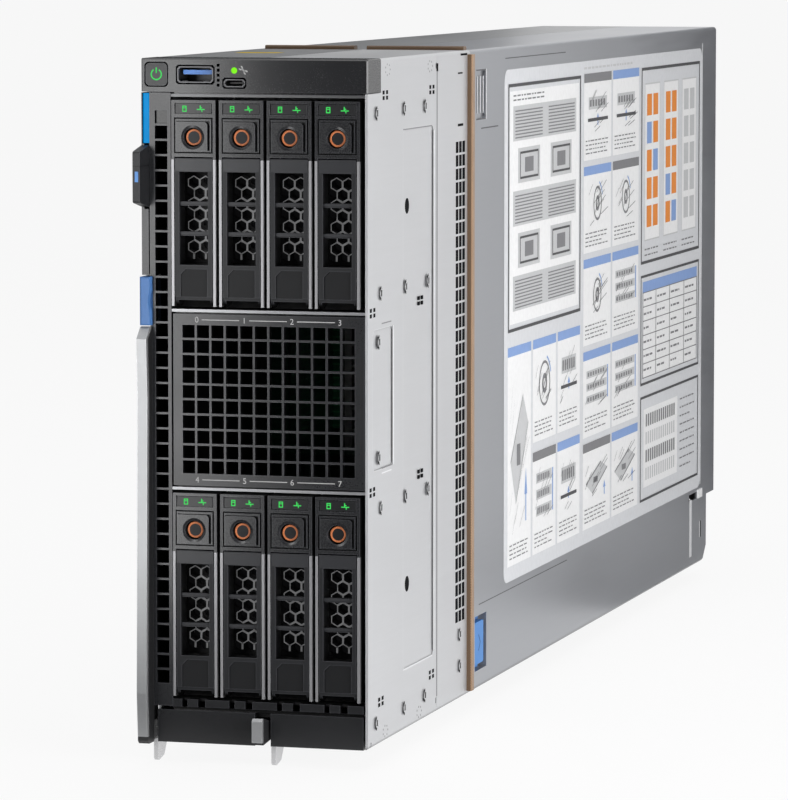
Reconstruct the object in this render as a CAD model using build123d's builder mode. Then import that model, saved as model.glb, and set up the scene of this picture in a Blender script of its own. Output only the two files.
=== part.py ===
from build123d import *
import os

# A double-width blade server that stands upright on its narrow lower edge.
# Blade frame of the sizes below, in millimetres:
# x runs across the front from its middle, y runs back from the front face, z runs up from the bottom plate.

# Sheet metal and clearances
sheet = 1.0
bend = 1.6
seam = 0.3
clear = 0.3
pin_clear = 0.05
round_sides = 16

# Layout across the front, from left to right
column_width = 3.07
strip_width = 8.08
drive_columns = 4
drive_pitch = 18.07
carrier_width = 16.7
right_gap = 2.14

# Layout up the front, from the bottom plate
bottom_bezel_height = 12.0
floor_rise = 4.1
bay_height = 77.0
grille_bay = 64.0
bezel_gap = 0.75
top_bezel_height = 12.15

# Layout along the depth
depth = 594.0
rear_step = 16.5
step_height = 31.0
corner_run = 8.0
corner_rise = 7.0
bezel_depth = 17.0
bay_depth = 120.0
cage_panel_depth = 93.9
gasket_start = 138.7
gasket_width = 4.5
gasket_proud = 2.0
gasket_top_proud = 1.5

# Handle, hooks and tag in front of and below the shell
hook_drop = 7.5
tag_proud = 10.3
pivot_y = 7.0
pivot_z = 6.0

# Places that follow from the layout
drives_width = (drive_columns - 1) * drive_pitch + carrier_width
width = column_width + strip_width + clear + drives_width + right_gap + sheet
half = width / 2
strip_left = -half + column_width
bay_left = strip_left + strip_width
bay_right = half - sheet
bay_floor = bottom_bezel_height + floor_rise
lower_shelf = bay_floor + bay_height + sheet
upper_shelf = lower_shelf + grille_bay + sheet
top_shelf = upper_shelf + bay_height + sheet
bezel_bottom = top_shelf + bezel_gap
height = bezel_bottom + top_bezel_height
shell_start = bezel_depth + clear
cover_start = gasket_start + gasket_width + clear
lower_depth = depth - rear_step
front = -(depth - tag_proud) / 2

# Planes of the blade frame: the front face, the side view and the view from above
face = Plane(origin=(0, front, hook_drop), x_dir=(1, 0, 0), z_dir=(0, -1, 0))
side = Plane(origin=(0, front, hook_drop), x_dir=(0, 1, 0), z_dir=(1, 0, 0))
deck = Plane(origin=(0, front, hook_drop), x_dir=(1, 0, 0), z_dir=(0, 0, 1))


def mid(pair):
    return (pair[0] + pair[1]) / 2


def span(pair):
    return pair[1] - pair[0]


# A block between two values on each axis
def block(x, y, z, mode=Mode.ADD):
    with BuildSketch(deck.offset(z[0])) as outline:
        with Locations((mid(x), mid(y))):
            Rectangle(span(x), span(y))
    extrude(outline.sketch, amount=span(z), mode=mode)


# A bar along x. Small round parts have a set number of flats, which keeps the repeated ones light
def rod(x, y, z, radius, sides=round_sides, mode=Mode.ADD):
    with BuildSketch(side.offset(x[0])) as outline:
        with Locations((y, z)):
            RegularPolygon(radius, sides)
    extrude(outline.sketch, amount=span(x), mode=mode)


# A bar along y
def peg(x, y, z, radius, sides=round_sides, mode=Mode.ADD):
    with BuildSketch(face.offset(-y[0])) as outline:
        with Locations((x, z)):
            RegularPolygon(radius, sides)
    extrude(outline.sketch, amount=-span(y), mode=mode)


# A side-view outline of (y, z) points, extruded across x
def side_profile(points, x, mode=Mode.ADD):
    with BuildSketch(side.offset(x[0])) as outline:
        with BuildLine():
            Polyline(*points, close=True)
        make_face()
    extrude(outline.sketch, amount=span(x), mode=mode)


# A grid of square holes through the front, between two depths
def front_holes(middle, pitch, counts, size, y):
    with BuildSketch(face.offset(-y[0])) as holes:
        with Locations(middle):
            with GridLocations(pitch, pitch, counts[0], counts[1]):
                Rectangle(size, size)
    extrude(holes.sketch, amount=-span(y), mode=Mode.SUBTRACT)


# A rectangle with clipped corners, in the sketch that calls for it
def clipped(middle, size, corner):
    with Locations(middle):
        panel = Rectangle(size[0], size[1])
    chamfer(panel.vertices(), corner)


# One folded half of the shell: a side wall with a top and a bottom flange that end at the seam
def half_shell(sign, y):
    with BuildSketch(face.offset(-y[0])) as section:
        with Locations((0, height / 2)):
            RectangleRounded(width, height, bend)
            RectangleRounded(width - 2 * sheet, height - 2 * sheet, bend - sheet, mode=Mode.SUBTRACT)
        with Locations((sign * (half + seam / 2) / 2, height / 2)):
            Rectangle(half - seam / 2, height, mode=Mode.INTERSECT)
    extrude(section.sketch, amount=-span(y))


# The stepped and cornered lower rear of the shell
def trim_rear():
    outside = depth + sheet
    points = [
        (lower_depth - corner_run, 0),
        (lower_depth, corner_rise),
        (lower_depth, step_height),
        (outside, step_height),
        (outside, -sheet),
        (lower_depth - corner_run, -sheet),
    ]
    side_profile(points, (-width, width), mode=Mode.SUBTRACT)


def save(piece, name):
    piece.part.label = name
    export_step(piece.part, f"parts/{name}.step")


os.makedirs("parts", exist_ok=True)

# Chassis tray: left half of the shell, the lips under the seam and the whole rear wall
lap = 8.0
connector_size = (24.0, 44.0)
connector_x = (-19.0, 20.0)
connector_z = (105.0, 185.0)
power_size = (30.0, 16.0)
power_z = 20.0
hook_width = 1.9
hook_x = (-half + column_width - clear, 5.1)
hook_reach = 15.5
hook_slot_end = pivot_y + hook_reach

with BuildPart() as chassis_tray:
    half_shell(-1, (shell_start, depth))
    for lip, web in ((sheet + clear, sheet), (height - 2 * sheet - clear, height - sheet - clear)):
        block((-lap, lap), (shell_start, depth), (lip, lip + sheet))
        block((-lap, -lap + 2 * sheet), (shell_start, depth), (web, web + clear))
    trim_rear()
    wall_x = (-half + sheet, half - sheet - clear)
    block(wall_x, (depth - sheet, depth), (step_height, height - sheet - clear))
    block(wall_x, (lower_depth - sheet, depth), (step_height, step_height + sheet))
    block(wall_x, (lower_depth - sheet, lower_depth), (corner_rise, step_height))
    slant_foot = sheet + clear
    slant_y = lower_depth - corner_run * (1 - slant_foot / corner_rise)
    slant = [
        (slant_y, slant_foot),
        (lower_depth, corner_rise),
        (lower_depth - sheet, corner_rise),
        (slant_y - sheet, slant_foot),
    ]
    side_profile(slant, wall_x)
    with BuildSketch(face.offset(-(depth - 2 * sheet))) as rear_windows:
        with Locations([(x, z) for x in connector_x for z in connector_z]):
            Rectangle(connector_size[0] + 2 * clear, connector_size[1] + 2 * clear)
    extrude(rear_windows.sketch, amount=-3 * sheet, mode=Mode.SUBTRACT)
    with BuildSketch(face.offset(-(lower_depth - 2 * sheet))) as power_windows:
        with Locations([(x, power_z) for x in connector_x]):
            Rectangle(power_size[0] + 2 * clear, power_size[1] + 2 * clear)
    extrude(power_windows.sketch, amount=-3 * sheet, mode=Mode.SUBTRACT)
    for x in hook_x:
        hook_slot = (x - 2 * clear, x + hook_width + 2 * clear)
        block(hook_slot, (0, hook_slot_end), (-sheet, 3 * sheet), mode=Mode.SUBTRACT)
save(chassis_tray, "chassis_tray")

# Side plate of the drive cage, with a pressed field, staked shelf tabs and two round holes
stake_hole = (1.7, 1.3)
stake_pitch = (4.6, 2.0)
stake_rows = (
    (bay_floor, (16.8, 86.8)),
    (lower_shelf, (5.6, 71.2)),
    (upper_shelf, (6.0, 71.1)),
    (top_shelf, (22.9, 86.9)),
)
press_depth = 0.35
field_y = (47.0, 89.5)
field_z = (22.6, 223.3)
bracket_y = (6.0, 33.0)
bracket_inset = 7.0
bracket_z = (lower_shelf + bracket_inset, upper_shelf - bracket_inset)
press_corner = 2.0
round_hole = 3.0
round_hole_y = 53.5
round_holes_z = (54.3, 194.8)
seam_slot = (1.5, 2.3)
seam_slot_edge = 3.5
bend_relief = (1.2, 2.4)
bend_relief_y = 3.2

with BuildPart() as cage_side_panel:
    half_shell(1, (0, cage_panel_depth))
    bezel_space = (bezel_bottom - clear, height + sheet)
    block((0, half + sheet), (-sheet, shell_start), bezel_space, mode=Mode.SUBTRACT)
    block((0, bay_right), (-sheet, shell_start), (-sheet, 2 * sheet), mode=Mode.SUBTRACT)
    right_slot = (hook_x[1] - 2 * clear, hook_x[1] + hook_width + 2 * clear)
    block(right_slot, (0, hook_slot_end), (-sheet, 3 * sheet), mode=Mode.SUBTRACT)
    relief_y = (bend_relief_y, bend_relief_y + bend_relief[0])
    block((bay_right - sheet, half + sheet), relief_y, (-sheet, bend_relief[1]), mode=Mode.SUBTRACT)
    seam_y = (cage_panel_depth - seam_slot[0], cage_panel_depth + sheet)
    for z in (seam_slot_edge, height - seam_slot_edge - seam_slot[1]):
        block((bay_right, half + sheet), seam_y, (z, z + seam_slot[1]), mode=Mode.SUBTRACT)
    with BuildSketch(side.offset(half)) as fields:
        for y, z in ((field_y, field_z), (bracket_y, bracket_z)):
            clipped((mid(y), mid(z)), (span(y), span(z)), press_corner)
    extrude(fields.sketch, amount=-press_depth, mode=Mode.SUBTRACT)
    with BuildSketch(side.offset(bay_right)) as cut_outs:
        for shelf_top, places in stake_rows:
            for y in places:
                with Locations((y, shelf_top - sheet / 2)):
                    with GridLocations(stake_pitch[0], stake_pitch[1], 2, 2):
                        Rectangle(stake_hole[0], stake_hole[1])
        with Locations([(round_hole_y, z) for z in round_holes_z]):
            Circle(round_hole)
    extrude(cut_outs.sketch, amount=2 * sheet, mode=Mode.SUBTRACT)
save(cage_side_panel, "cage_side_panel")

# Side plate with three columns of square vents and the lip that the cover closes on
vent_size = (4.0, 4.35)
vent_pitch = (4.87, 5.17)
vent_counts = (3, 36)
vent_middle = (128.45, 122.9)
lip_reach = 6.7

with BuildPart() as vent_side_panel:
    half_shell(1, (cage_panel_depth + seam, gasket_start + gasket_width))
    lip_y = (gasket_start, gasket_start + gasket_width + lip_reach)
    block((bay_right - sheet, bay_right), lip_y, (3 * lap, height - 3 * lap))
    with BuildSketch(side.offset(bay_right)) as vents:
        with Locations(vent_middle):
            with GridLocations(vent_pitch[0], vent_pitch[1], vent_counts[0], vent_counts[1]):
                Rectangle(vent_size[0], vent_size[1])
    extrude(vents.sketch, amount=2 * sheet, mode=Mode.SUBTRACT)
save(vent_side_panel, "vent_side_panel")

# Woven seal: a strip down the right side and two over the top, each with a rounded outside
seal_round = 0.9
seal_inset = 4.2
seal_gap = 5.0
seal_y = (gasket_start, gasket_start + gasket_width)

with BuildPart() as emi_gasket:
    block((half, half + gasket_proud), seal_y, (bend, height - bend))
    block((-half + seal_inset, -seal_gap / 2), seal_y, (height, height + gasket_top_proud))
    block((seal_gap / 2, half - bend), seal_y, (height, height + gasket_top_proud))
    outside_edges = emi_gasket.edges().filter_by(Axis.Z).group_by(Axis.X)[-1]
    top_edges = emi_gasket.edges().filter_by(Axis.X).group_by(Axis.Z)[-1]
    fillet(outside_edges + top_edges, seal_round)
save(emi_gasket, "emi_gasket")

# Drive cage: left wall, four shelves and the guide ribs between the drives
rib_width = 0.7
rib_height = 2.5
rib_start = 20.0
shelf_front = 0.3
trim_thickness = 3.0


def drive_left(column):
    return bay_left + clear + column * drive_pitch


with BuildPart() as drive_cage:
    block((bay_left - sheet, bay_left), (trim_thickness, bay_depth), (sheet, height - sheet))
    wall_cut = (bay_left - 2 * sheet, bay_left)
    block(wall_cut, (0, shell_start), (0, bottom_bezel_height + clear), mode=Mode.SUBTRACT)
    block(wall_cut, (0, shell_start), (bezel_bottom - clear, height), mode=Mode.SUBTRACT)
    for shelf_top in (bay_floor, lower_shelf, upper_shelf, top_shelf):
        shelf_y = (trim_thickness if shelf_top == bay_floor else shelf_front, bay_depth)
        block((bay_left, bay_right), shelf_y, (shelf_top - sheet, shelf_top))
    for column in range(1, drive_columns):
        rib_middle = drive_left(column) - (drive_pitch - carrier_width) / 2
        rib_x = (rib_middle - rib_width / 2, rib_middle + rib_width / 2)
        for floor in (bay_floor, upper_shelf):
            ceiling = floor + bay_height
            block(rib_x, (rib_start, bay_depth), (floor, floor + rib_height))
            block(rib_x, (rib_start, bay_depth), (ceiling - rib_height, ceiling))
save(drive_cage, "drive_cage")

# Front left moulding: column of square vents, handle channel, button pocket, tag slot and light pocket
trim_wall = 0.8
trim_gap = 1.4
trim_bottom = bottom_bezel_height + trim_gap
trim_top = bezel_bottom - clear
strip_vent = 4.8
strip_pitch = 5.53
strip_count = 37
strip_blank = 8.8
strip_vent_shift = 0.4
strip_vent_x = mid((strip_left, bay_left)) + strip_vent_shift
blank_depth = 1.2
light_height = 18.0
light_depth = 4.0
tag_height = 23.0
plain_height = 24.0
plain_groove = (0.45, 1.5)
button_height = 17.7
column_gap = 0.5
channel_depth = 10.0
tongue_reach = 30.0
light_z = (trim_top - clear - light_height, trim_top - clear)
tag_z = (light_z[0] - column_gap - tag_height, light_z[0] - column_gap)
plain_z = (tag_z[0] - column_gap - plain_height, tag_z[0] - column_gap)
button_z = (plain_z[0] - column_gap - button_height, plain_z[0] - column_gap)
handle_top = button_z[0] - column_gap
button_reach = 0.8

with BuildPart() as left_trim:
    block((strip_left, bay_left), (0, trim_thickness), (trim_bottom, trim_top))
    block((strip_left, strip_left + trim_wall), (0, bezel_depth), (trim_bottom, trim_top))
    block((-half, strip_left), (channel_depth, channel_depth + 2 * sheet), (trim_bottom, plain_z[0]))
    block((-half, -half + sheet), (0, bezel_depth), (plain_z[0], trim_top))
    block((-half, strip_left), (0, light_depth), plain_z)
    block((-half, strip_left), (light_depth, light_depth + 2 * sheet), (light_z[0], trim_top))
    block((-half + sheet, -half + 2 * sheet), (channel_depth, tongue_reach), (trim_bottom, button_z[0]))
    groove_x = (strip_left - plain_groove[0], strip_left)
    block(groove_x, (-sheet, plain_groove[1]), plain_z, mode=Mode.SUBTRACT)
    light_pocket = (-half + clear, strip_left)
    block(light_pocket, (-sheet, light_depth), (light_z[0] - clear, height), mode=Mode.SUBTRACT)
    pocket_x = (-width, strip_left + button_reach + clear)
    pocket_z = (button_z[0] - clear, button_z[1] + clear)
    block(pocket_x, (-sheet, channel_depth), pocket_z, mode=Mode.SUBTRACT)
    first_z = trim_top - strip_blank
    holes_z = first_z - strip_pitch * (strip_count + 1) / 2
    front_holes((strip_vent_x, holes_z), strip_pitch, (1, strip_count), strip_vent, (0, trim_thickness))
    front_holes((strip_vent_x, first_z), strip_pitch, (1, 1), strip_vent, (0, blank_depth))
save(left_trim, "left_trim")

# Light bar in its pocket
with BuildPart() as status_light:
    block((-half + 2 * clear, strip_left - pin_clear), (0, light_depth), light_z)
    chamfer(status_light.edges().filter_by(Axis.Z).group_by(Axis.Y)[0], sheet / 2)
save(status_light, "status_light")

# Egg-crate grille between the drive banks
grille_pitch = 5.5
grille_hole = 4.72
grille_counts = (12, 10)
grille_depth = 3.0
grille_edge = 0.7
grille_shift = (0.125, 0.2)
grille_vent_x = mid((bay_left, bay_right)) + grille_shift[0]
grille_vent_z = mid((lower_shelf, upper_shelf - sheet)) + grille_shift[1]
grille_x = (bay_left + grille_edge, bay_right - clear)
grille_z = (lower_shelf + grille_edge, upper_shelf - sheet - grille_edge)

with BuildPart() as centre_grille:
    block(grille_x, (0, grille_depth), grille_z)
    rim_z = (lower_shelf, upper_shelf - sheet)
    rim_y = (grille_depth, grille_depth + 2 * sheet)
    block(grille_x, rim_y, rim_z)
    core_x = (grille_x[0] + 2 * sheet, grille_x[1] - 2 * sheet)
    core_z = (grille_z[0] + 2 * sheet, grille_z[1] - 2 * sheet)
    block(core_x, (grille_depth, grille_depth + 3 * sheet), core_z, mode=Mode.SUBTRACT)
    crate_y = (-sheet, grille_depth + sheet)
    front_holes((grille_vent_x, grille_vent_z), grille_pitch, grille_counts, grille_hole, crate_y)
save(centre_grille, "centre_grille")

# Top bezel: a hollow moulding with cut-outs for the power button and the two ports
bezel_wall = 1.2
bezel_round = 0.5
power_button_size = 8.2
power_button_at = (5.8, 6.3)
power_button_gap = 0.45
usb_size = (13.6, 5.9)
usb_at = (20.6, 6.3)
service_size = (8.0, 2.9)
service_at = (35.4, 3.3)
port_gap = 0.6
port_corner = 0.8
button_round = 1.6
breather = 1.1
breather_pitch = 1.8
breather_count = 5
breather_at = (29.3, 6.15)
power_button_middle = (-half + power_button_at[0], bezel_bottom + power_button_at[1])
usb_middle = (-half + usb_at[0], bezel_bottom + usb_at[1])
service_middle = (-half + service_at[0], bezel_bottom + service_at[1])
breather_middle = (-half + breather_at[0], bezel_bottom + breather_at[1])

with BuildPart() as top_bezel:
    block((-half, half), (0, bezel_depth), (bezel_bottom, height))
    fillet(top_bezel.edges().filter_by(Axis.Y).group_by(Axis.Z)[-1], bezel_round)
    chamfer(top_bezel.faces().sort_by(Axis.Y)[0].edges().sort_by(Axis.Z)[-1], sheet / 2)
    inside_x = (-half + bezel_wall, half - bezel_wall)
    inside_z = (bezel_bottom + bezel_wall, height - bezel_wall)
    block(inside_x, (2 * bezel_wall, bezel_depth + sheet), inside_z, mode=Mode.SUBTRACT)
    block((bay_left + sheet, bay_right - sheet), (bezel_wall, bezel_depth), (top_shelf, bezel_bottom))
    with BuildSketch(face.offset(sheet)) as ports:
        with Locations(power_button_middle):
            opening = power_button_size + 2 * power_button_gap
            RectangleRounded(opening, opening, button_round)
        for middle, size in ((usb_middle, usb_size), (service_middle, service_size)):
            clipped(middle, (size[0] + 2 * port_gap, size[1] + 2 * port_gap), port_corner)
    extrude(ports.sketch, amount=-(2 * bezel_wall + 2 * sheet), mode=Mode.SUBTRACT)
    breather_y = (-sheet, 2 * bezel_wall + sheet)
    front_holes(breather_middle, breather_pitch, (1, breather_count), breather, breather_y)
save(top_bezel, "top_bezel")

# Power button: a rounded square cap with a tab that catches behind the bezel's wall
power_cap = 6.0
power_tab = 1.2

with BuildPart() as power_button:
    with BuildSketch(face) as cap:
        with Locations(power_button_middle):
            RectangleRounded(power_button_size, power_button_size, button_round)
    extrude(cap.sketch, amount=-power_cap)
    tab_right = power_button_middle[0] + power_button_size / 2 + power_button_gap + power_tab
    tab_z = (power_button_middle[1] - power_button_size / 4, power_button_middle[1] + power_button_size / 4)
    block((power_button_middle[0], tab_right), (2 * bezel_wall + clear, power_cap), tab_z)
save(power_button, "power_button")

# Port shells, open to the front, and the tongues in them
port_wall = 0.4
port_length = 13.0
port_back = 1.0
tongue_length = 9.0
flange_y = (2 * bezel_wall, 2 * bezel_wall + sheet)


# A port's can: a clipped tube with a back, and a flange that seats it behind the bezel's wall
def port_shell(middle, size):
    with BuildSketch(face) as can:
        clipped(middle, size, port_corner)
    extrude(can.sketch, amount=-port_length)
    flange = (size[0] / 2 + 2 * port_gap, size[1] / 2)
    flange_x = (middle[0] - flange[0], middle[0] + flange[0])
    block(flange_x, flange_y, (middle[1] - flange[1], middle[1] + flange[1]))
    with BuildSketch(face) as mouth:
        clipped(middle, (size[0] - 2 * port_wall, size[1] - 2 * port_wall), port_corner)
    extrude(mouth.sketch, amount=port_back - port_length, mode=Mode.SUBTRACT)


with BuildPart() as usb_ports:
    port_shell(usb_middle, usb_size)
    port_shell(service_middle, service_size)
save(usb_ports, "usb_ports")

usb_tongue = (10.9, 1.6)
usb_tongue_rise = 0.8
service_tongue = (5.0, 0.7)

with BuildPart() as port_tongues:
    tongue_back = port_length - port_back
    tongues = ((usb_middle, usb_tongue_rise, usb_tongue), (service_middle, 0, service_tongue))
    for middle, rise, tongue in tongues:
        tongue_x = (middle[0] - tongue[0] / 2, middle[0] + tongue[0] / 2)
        tongue_z = (middle[1] + rise - tongue[1] / 2, middle[1] + rise + tongue[1] / 2)
        block(tongue_x, (tongue_back - tongue_length, tongue_back), tongue_z)
save(port_tongues, "port_tongues")

# Bottom bezel: hollow moulding with bearing ribs for the cross shaft and a castellated fence above
shaft_radius = 2.0
bearing_width = 2.0
fence_groove = 1.3
fence_slots = ((3.2, 2.1), (9.3, 2.8))
fence_slot_height = 3.0
front_wall = 2.5
bezel_inset = (2.3, 0.8)
bezel_left = strip_left + bezel_inset[0]
bezel_right = bay_right - bezel_inset[1]
roof = 1.8
notch_x = (-0.24, 5.79)
bearing_gap = (1.0, 1.4)
bearings = (
    bezel_left,
    notch_x[0] - bearing_gap[0] - bearing_width,
    hook_x[1] + hook_width + bearing_gap[1],
)

with BuildPart() as bottom_bezel:
    block((bezel_left, bezel_right), (0, front_wall), (0, bottom_bezel_height))
    block((bezel_left, bezel_right), (0, bezel_depth), (bottom_bezel_height - roof, bottom_bezel_height))
    block((bezel_right - bearing_width, bezel_right), (0, bezel_depth), (0, bottom_bezel_height))
    for x in bearings:
        block((x, x + bearing_width), (0, bezel_depth - 2 * sheet), (0, bottom_bezel_height))
    fence_x = (bay_left, bezel_right)
    fence_z = (bottom_bezel_height, bay_floor)
    block(fence_x, (0, trim_thickness), fence_z)
    groove = (bottom_bezel_height, bottom_bezel_height + fence_groove)
    block(fence_x, (-sheet, trim_thickness / 2), groove, mode=Mode.SUBTRACT)
    for column in range(drive_columns):
        for slot_at, slot_width in fence_slots:
            gap_x = (drive_left(column) + slot_at, drive_left(column) + slot_at + slot_width)
            gap_z = (fence_z[1] - fence_slot_height, height)
            block(gap_x, (-sheet, trim_thickness + sheet), gap_z, mode=Mode.SUBTRACT)
    block(notch_x, (-sheet, front_wall + clear), (-sheet, bottom_bezel_height), mode=Mode.SUBTRACT)
    rod((-width, width), pivot_y, pivot_z, shaft_radius + pin_clear, mode=Mode.SUBTRACT)
save(bottom_bezel, "bottom_bezel")

# Cross shaft with a hook beside each handle
shaft_x = (-half + 2 * clear, bearings[-1] + bearing_width)
hook_front = 4.1
hook_back = 6.2
hook_lip = 0.9
hook_heel = 2.5
hook_shoulder = (3.2, 1.5)
hook = [
    (pivot_y - hook_shoulder[0], pivot_z + hook_shoulder[1]),
    (pivot_y - hook_front, pivot_z - sheet),
    (pivot_y - hook_front, hook_lip - hook_drop),
    (pivot_y - hook_front + hook_lip, -hook_drop),
    (pivot_y + hook_heel, hook_lip + clear - hook_drop),
    (pivot_y + hook_back, -sheet),
    (pivot_y + hook_shoulder[0], pivot_z + hook_shoulder[1]),
]

with BuildPart() as latch_shaft:
    rod(shaft_x, pivot_y, pivot_z, shaft_radius)
    for x in hook_x:
        side_profile(hook, (x, x + hook_width))
save(latch_shaft, "latch_shaft")

# Handles: the long one fills the left column, the short one stands in the notch of the bottom bezel
cap_thickness = 1.8
cap_width = 3.75
guard_width = 4.05
grip_back = -0.4
blade_back = 8.5
blade_x = (-half + clear, strip_left - clear)
foot_z = 0.0
foot_round = 1.2
# Front edge of the long handle as (reach in front of the face, height), with heights from its foot or its top
long_foot = ((7.2, 2.7), (8.3, 18.7))
long_waist = (5.75, 26.6)
long_shoulder = (7.0, 4.2)
long_tip = 2.4
long_edge = [(-reach, z) for reach, z in long_foot] + [
    (-long_waist[0], handle_top - long_waist[1]),
    (-long_shoulder[0], handle_top - long_shoulder[1]),
    (-long_tip, handle_top),
]
short_inset = (1.3, 0.85)
short_x = (notch_x[0] + short_inset[0], notch_x[1] - short_inset[1])
short_front = -8.0
short_z = (2.3, 11.1)
hub_reach = 3.2
hub_drop = 3.6
short_back = [
    (0.0, bottom_bezel_height - roof - 2 * clear),
    (pivot_y + hub_reach, pivot_z + shaft_radius),
    (pivot_y + hub_reach, pivot_z - shaft_radius),
    (pivot_y, pivot_z - hub_drop),
]


def behind(points):
    return [(y + cap_thickness, z) for y, z in points]


with BuildPart() as release_handle:
    toe = long_edge[0]
    long_grip = behind(long_edge) + [
        (grip_back, handle_top),
        (grip_back, foot_z),
        (toe[0] + foot_round, foot_z),
        (toe[0], foot_z + foot_round),
        toe,
    ]
    side_profile(long_grip, (-half, -half + guard_width))
    block(blade_x, (grip_back, blade_back), (foot_z, handle_top - sheet))
    short_grip = [
        (short_front + cap_thickness, short_z[0] - sheet),
        (short_front + cap_thickness, short_z[1]),
    ] + short_back
    side_profile(short_grip, short_x)
    rod((-width, width), pivot_y, pivot_z, shaft_radius + pin_clear, mode=Mode.SUBTRACT)
save(release_handle, "release_handle")

# Bright caps on the two handles
with BuildPart() as handle_caps:
    side_profile(long_edge + behind(long_edge)[::-1], (-half, -half + cap_width))
    short_cap = [
        (short_front, short_z[0]),
        (short_front, short_z[1] - sheet),
        (short_front + sheet, short_z[1]),
        (short_front + cap_thickness, short_z[1]),
        (short_front + cap_thickness, short_z[0]),
    ]
    side_profile(short_cap, short_x)
save(handle_caps, "handle_caps")

# Blue release button with softened edges and a shallow finger scoop
button_proud = 3.2
button_depth = 6.5
button_x = (-half, strip_left + button_reach)
scoop_radius = 14.0
scoop_bite = 0.55
button_soft = 0.8

with BuildPart() as release_button:
    block(button_x, (-button_proud, button_depth), button_z)
    front_edges = release_button.faces().sort_by(Axis.Y)[0].edges()
    fillet(front_edges.filter_by(Axis.X) + front_edges.filter_by(Axis.Z).sort_by(Axis.X)[:1], button_soft)
    with BuildSketch(face.offset(button_proud)) as scoop:
        with Locations((button_x[1] + scoop_radius - scoop_bite, mid(button_z))):
            Circle(scoop_radius)
    extrude(scoop.sketch, amount=-button_proud, mode=Mode.SUBTRACT)
save(release_button, "release_button")

# Pull-out tag: a tapered grip in front and a thin plate beside the tray's wall
tag_taper = 2.3
tag_plate = 1.2
tag_length = 105.0
grip_x = (-half, strip_left - clear)
plate_left = -half + sheet + clear
plate_inset = 2.0

with BuildPart() as info_tag:
    grip = [
        (0, tag_z[0] + clear),
        (-tag_proud, tag_z[0] + tag_taper),
        (-tag_proud, tag_z[1] - tag_taper),
        (0, tag_z[1] - clear),
    ]
    side_profile(grip, grip_x)
    fillet(info_tag.edges().filter_by(Axis.X).group_by(Axis.Y)[0], sheet)
    plate_z = (tag_z[0] + plate_inset, tag_z[1] - plate_inset)
    block((plate_left, plate_left + tag_plate), (0, tag_length), plate_z)
save(info_tag, "info_tag")

# Drives: sizes of one carrier, measured from its lower left front corner
carrier_height = 75.5
carrier_length = 118.0
cheek = 1.0
cheek_z = (0.8, 54.0)
cheek_depth = 12.0
frame_depth = 14.0
rail = 2.5
block_bottom = 55.0
lamp_z = (70.4, 74.6)
lamp_inset = 1.25
lamp_depth = 0.5
plate_rise = (56.25, 69.25)
plate_gap = (0.55, 1.4)
plate_raise = 0.2
pad_inset = (0.4, 1.3, 0.4, 1.0)
pad_raise = 0.5
pad_groove = (0.8, 0.3)
pad_groove_depth = 0.7
pad_corner = 0.9
drive_button_z = 62.1
drive_button_radius = 3.1
drive_button_depth = 5.5
drive_button_travel = 1.5
drive_button_sink = 0.8
button_gap = 0.45
button_edge = 0.4
screen_y = (11.0, 11.8)
screen_z = (12.0, 54.0)
hex_pitch = 4.5
hex_wall = 0.9
hex_columns = 3
hex_rows = 8
hinge_y = 4.0
hinge_z = 4.2
barrel = 3.6
stub_radius = 1.2
drive_size = (15.0, 100.45, 69.85)
handle_side = 0.3
handle_top_z = 54.5
handle_thickness = 7.0
window_z = (15.8, 49.6)
window_inset = 1.6
bars_z = (27.1, 38.0)
bar_height = 1.5
label_z = (4.2, 14.3)
label_inset = 2.0
label_depth = 0.5
label_corner = 2.0
handle_arm = 1.0


# Centres of the honeycomb openings, with every other row moved by half a pitch
def hex_places():
    row_pitch = hex_pitch * 3**0.5 / 2
    places = []
    for row in range(hex_rows):
        odd = row % 2
        for column in range(hex_columns - odd):
            shift = (column - (hex_columns - 1 - odd) / 2) * hex_pitch
            places.append((shift, (row - (hex_rows - 1) / 2) * row_pitch))
    return places


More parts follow.
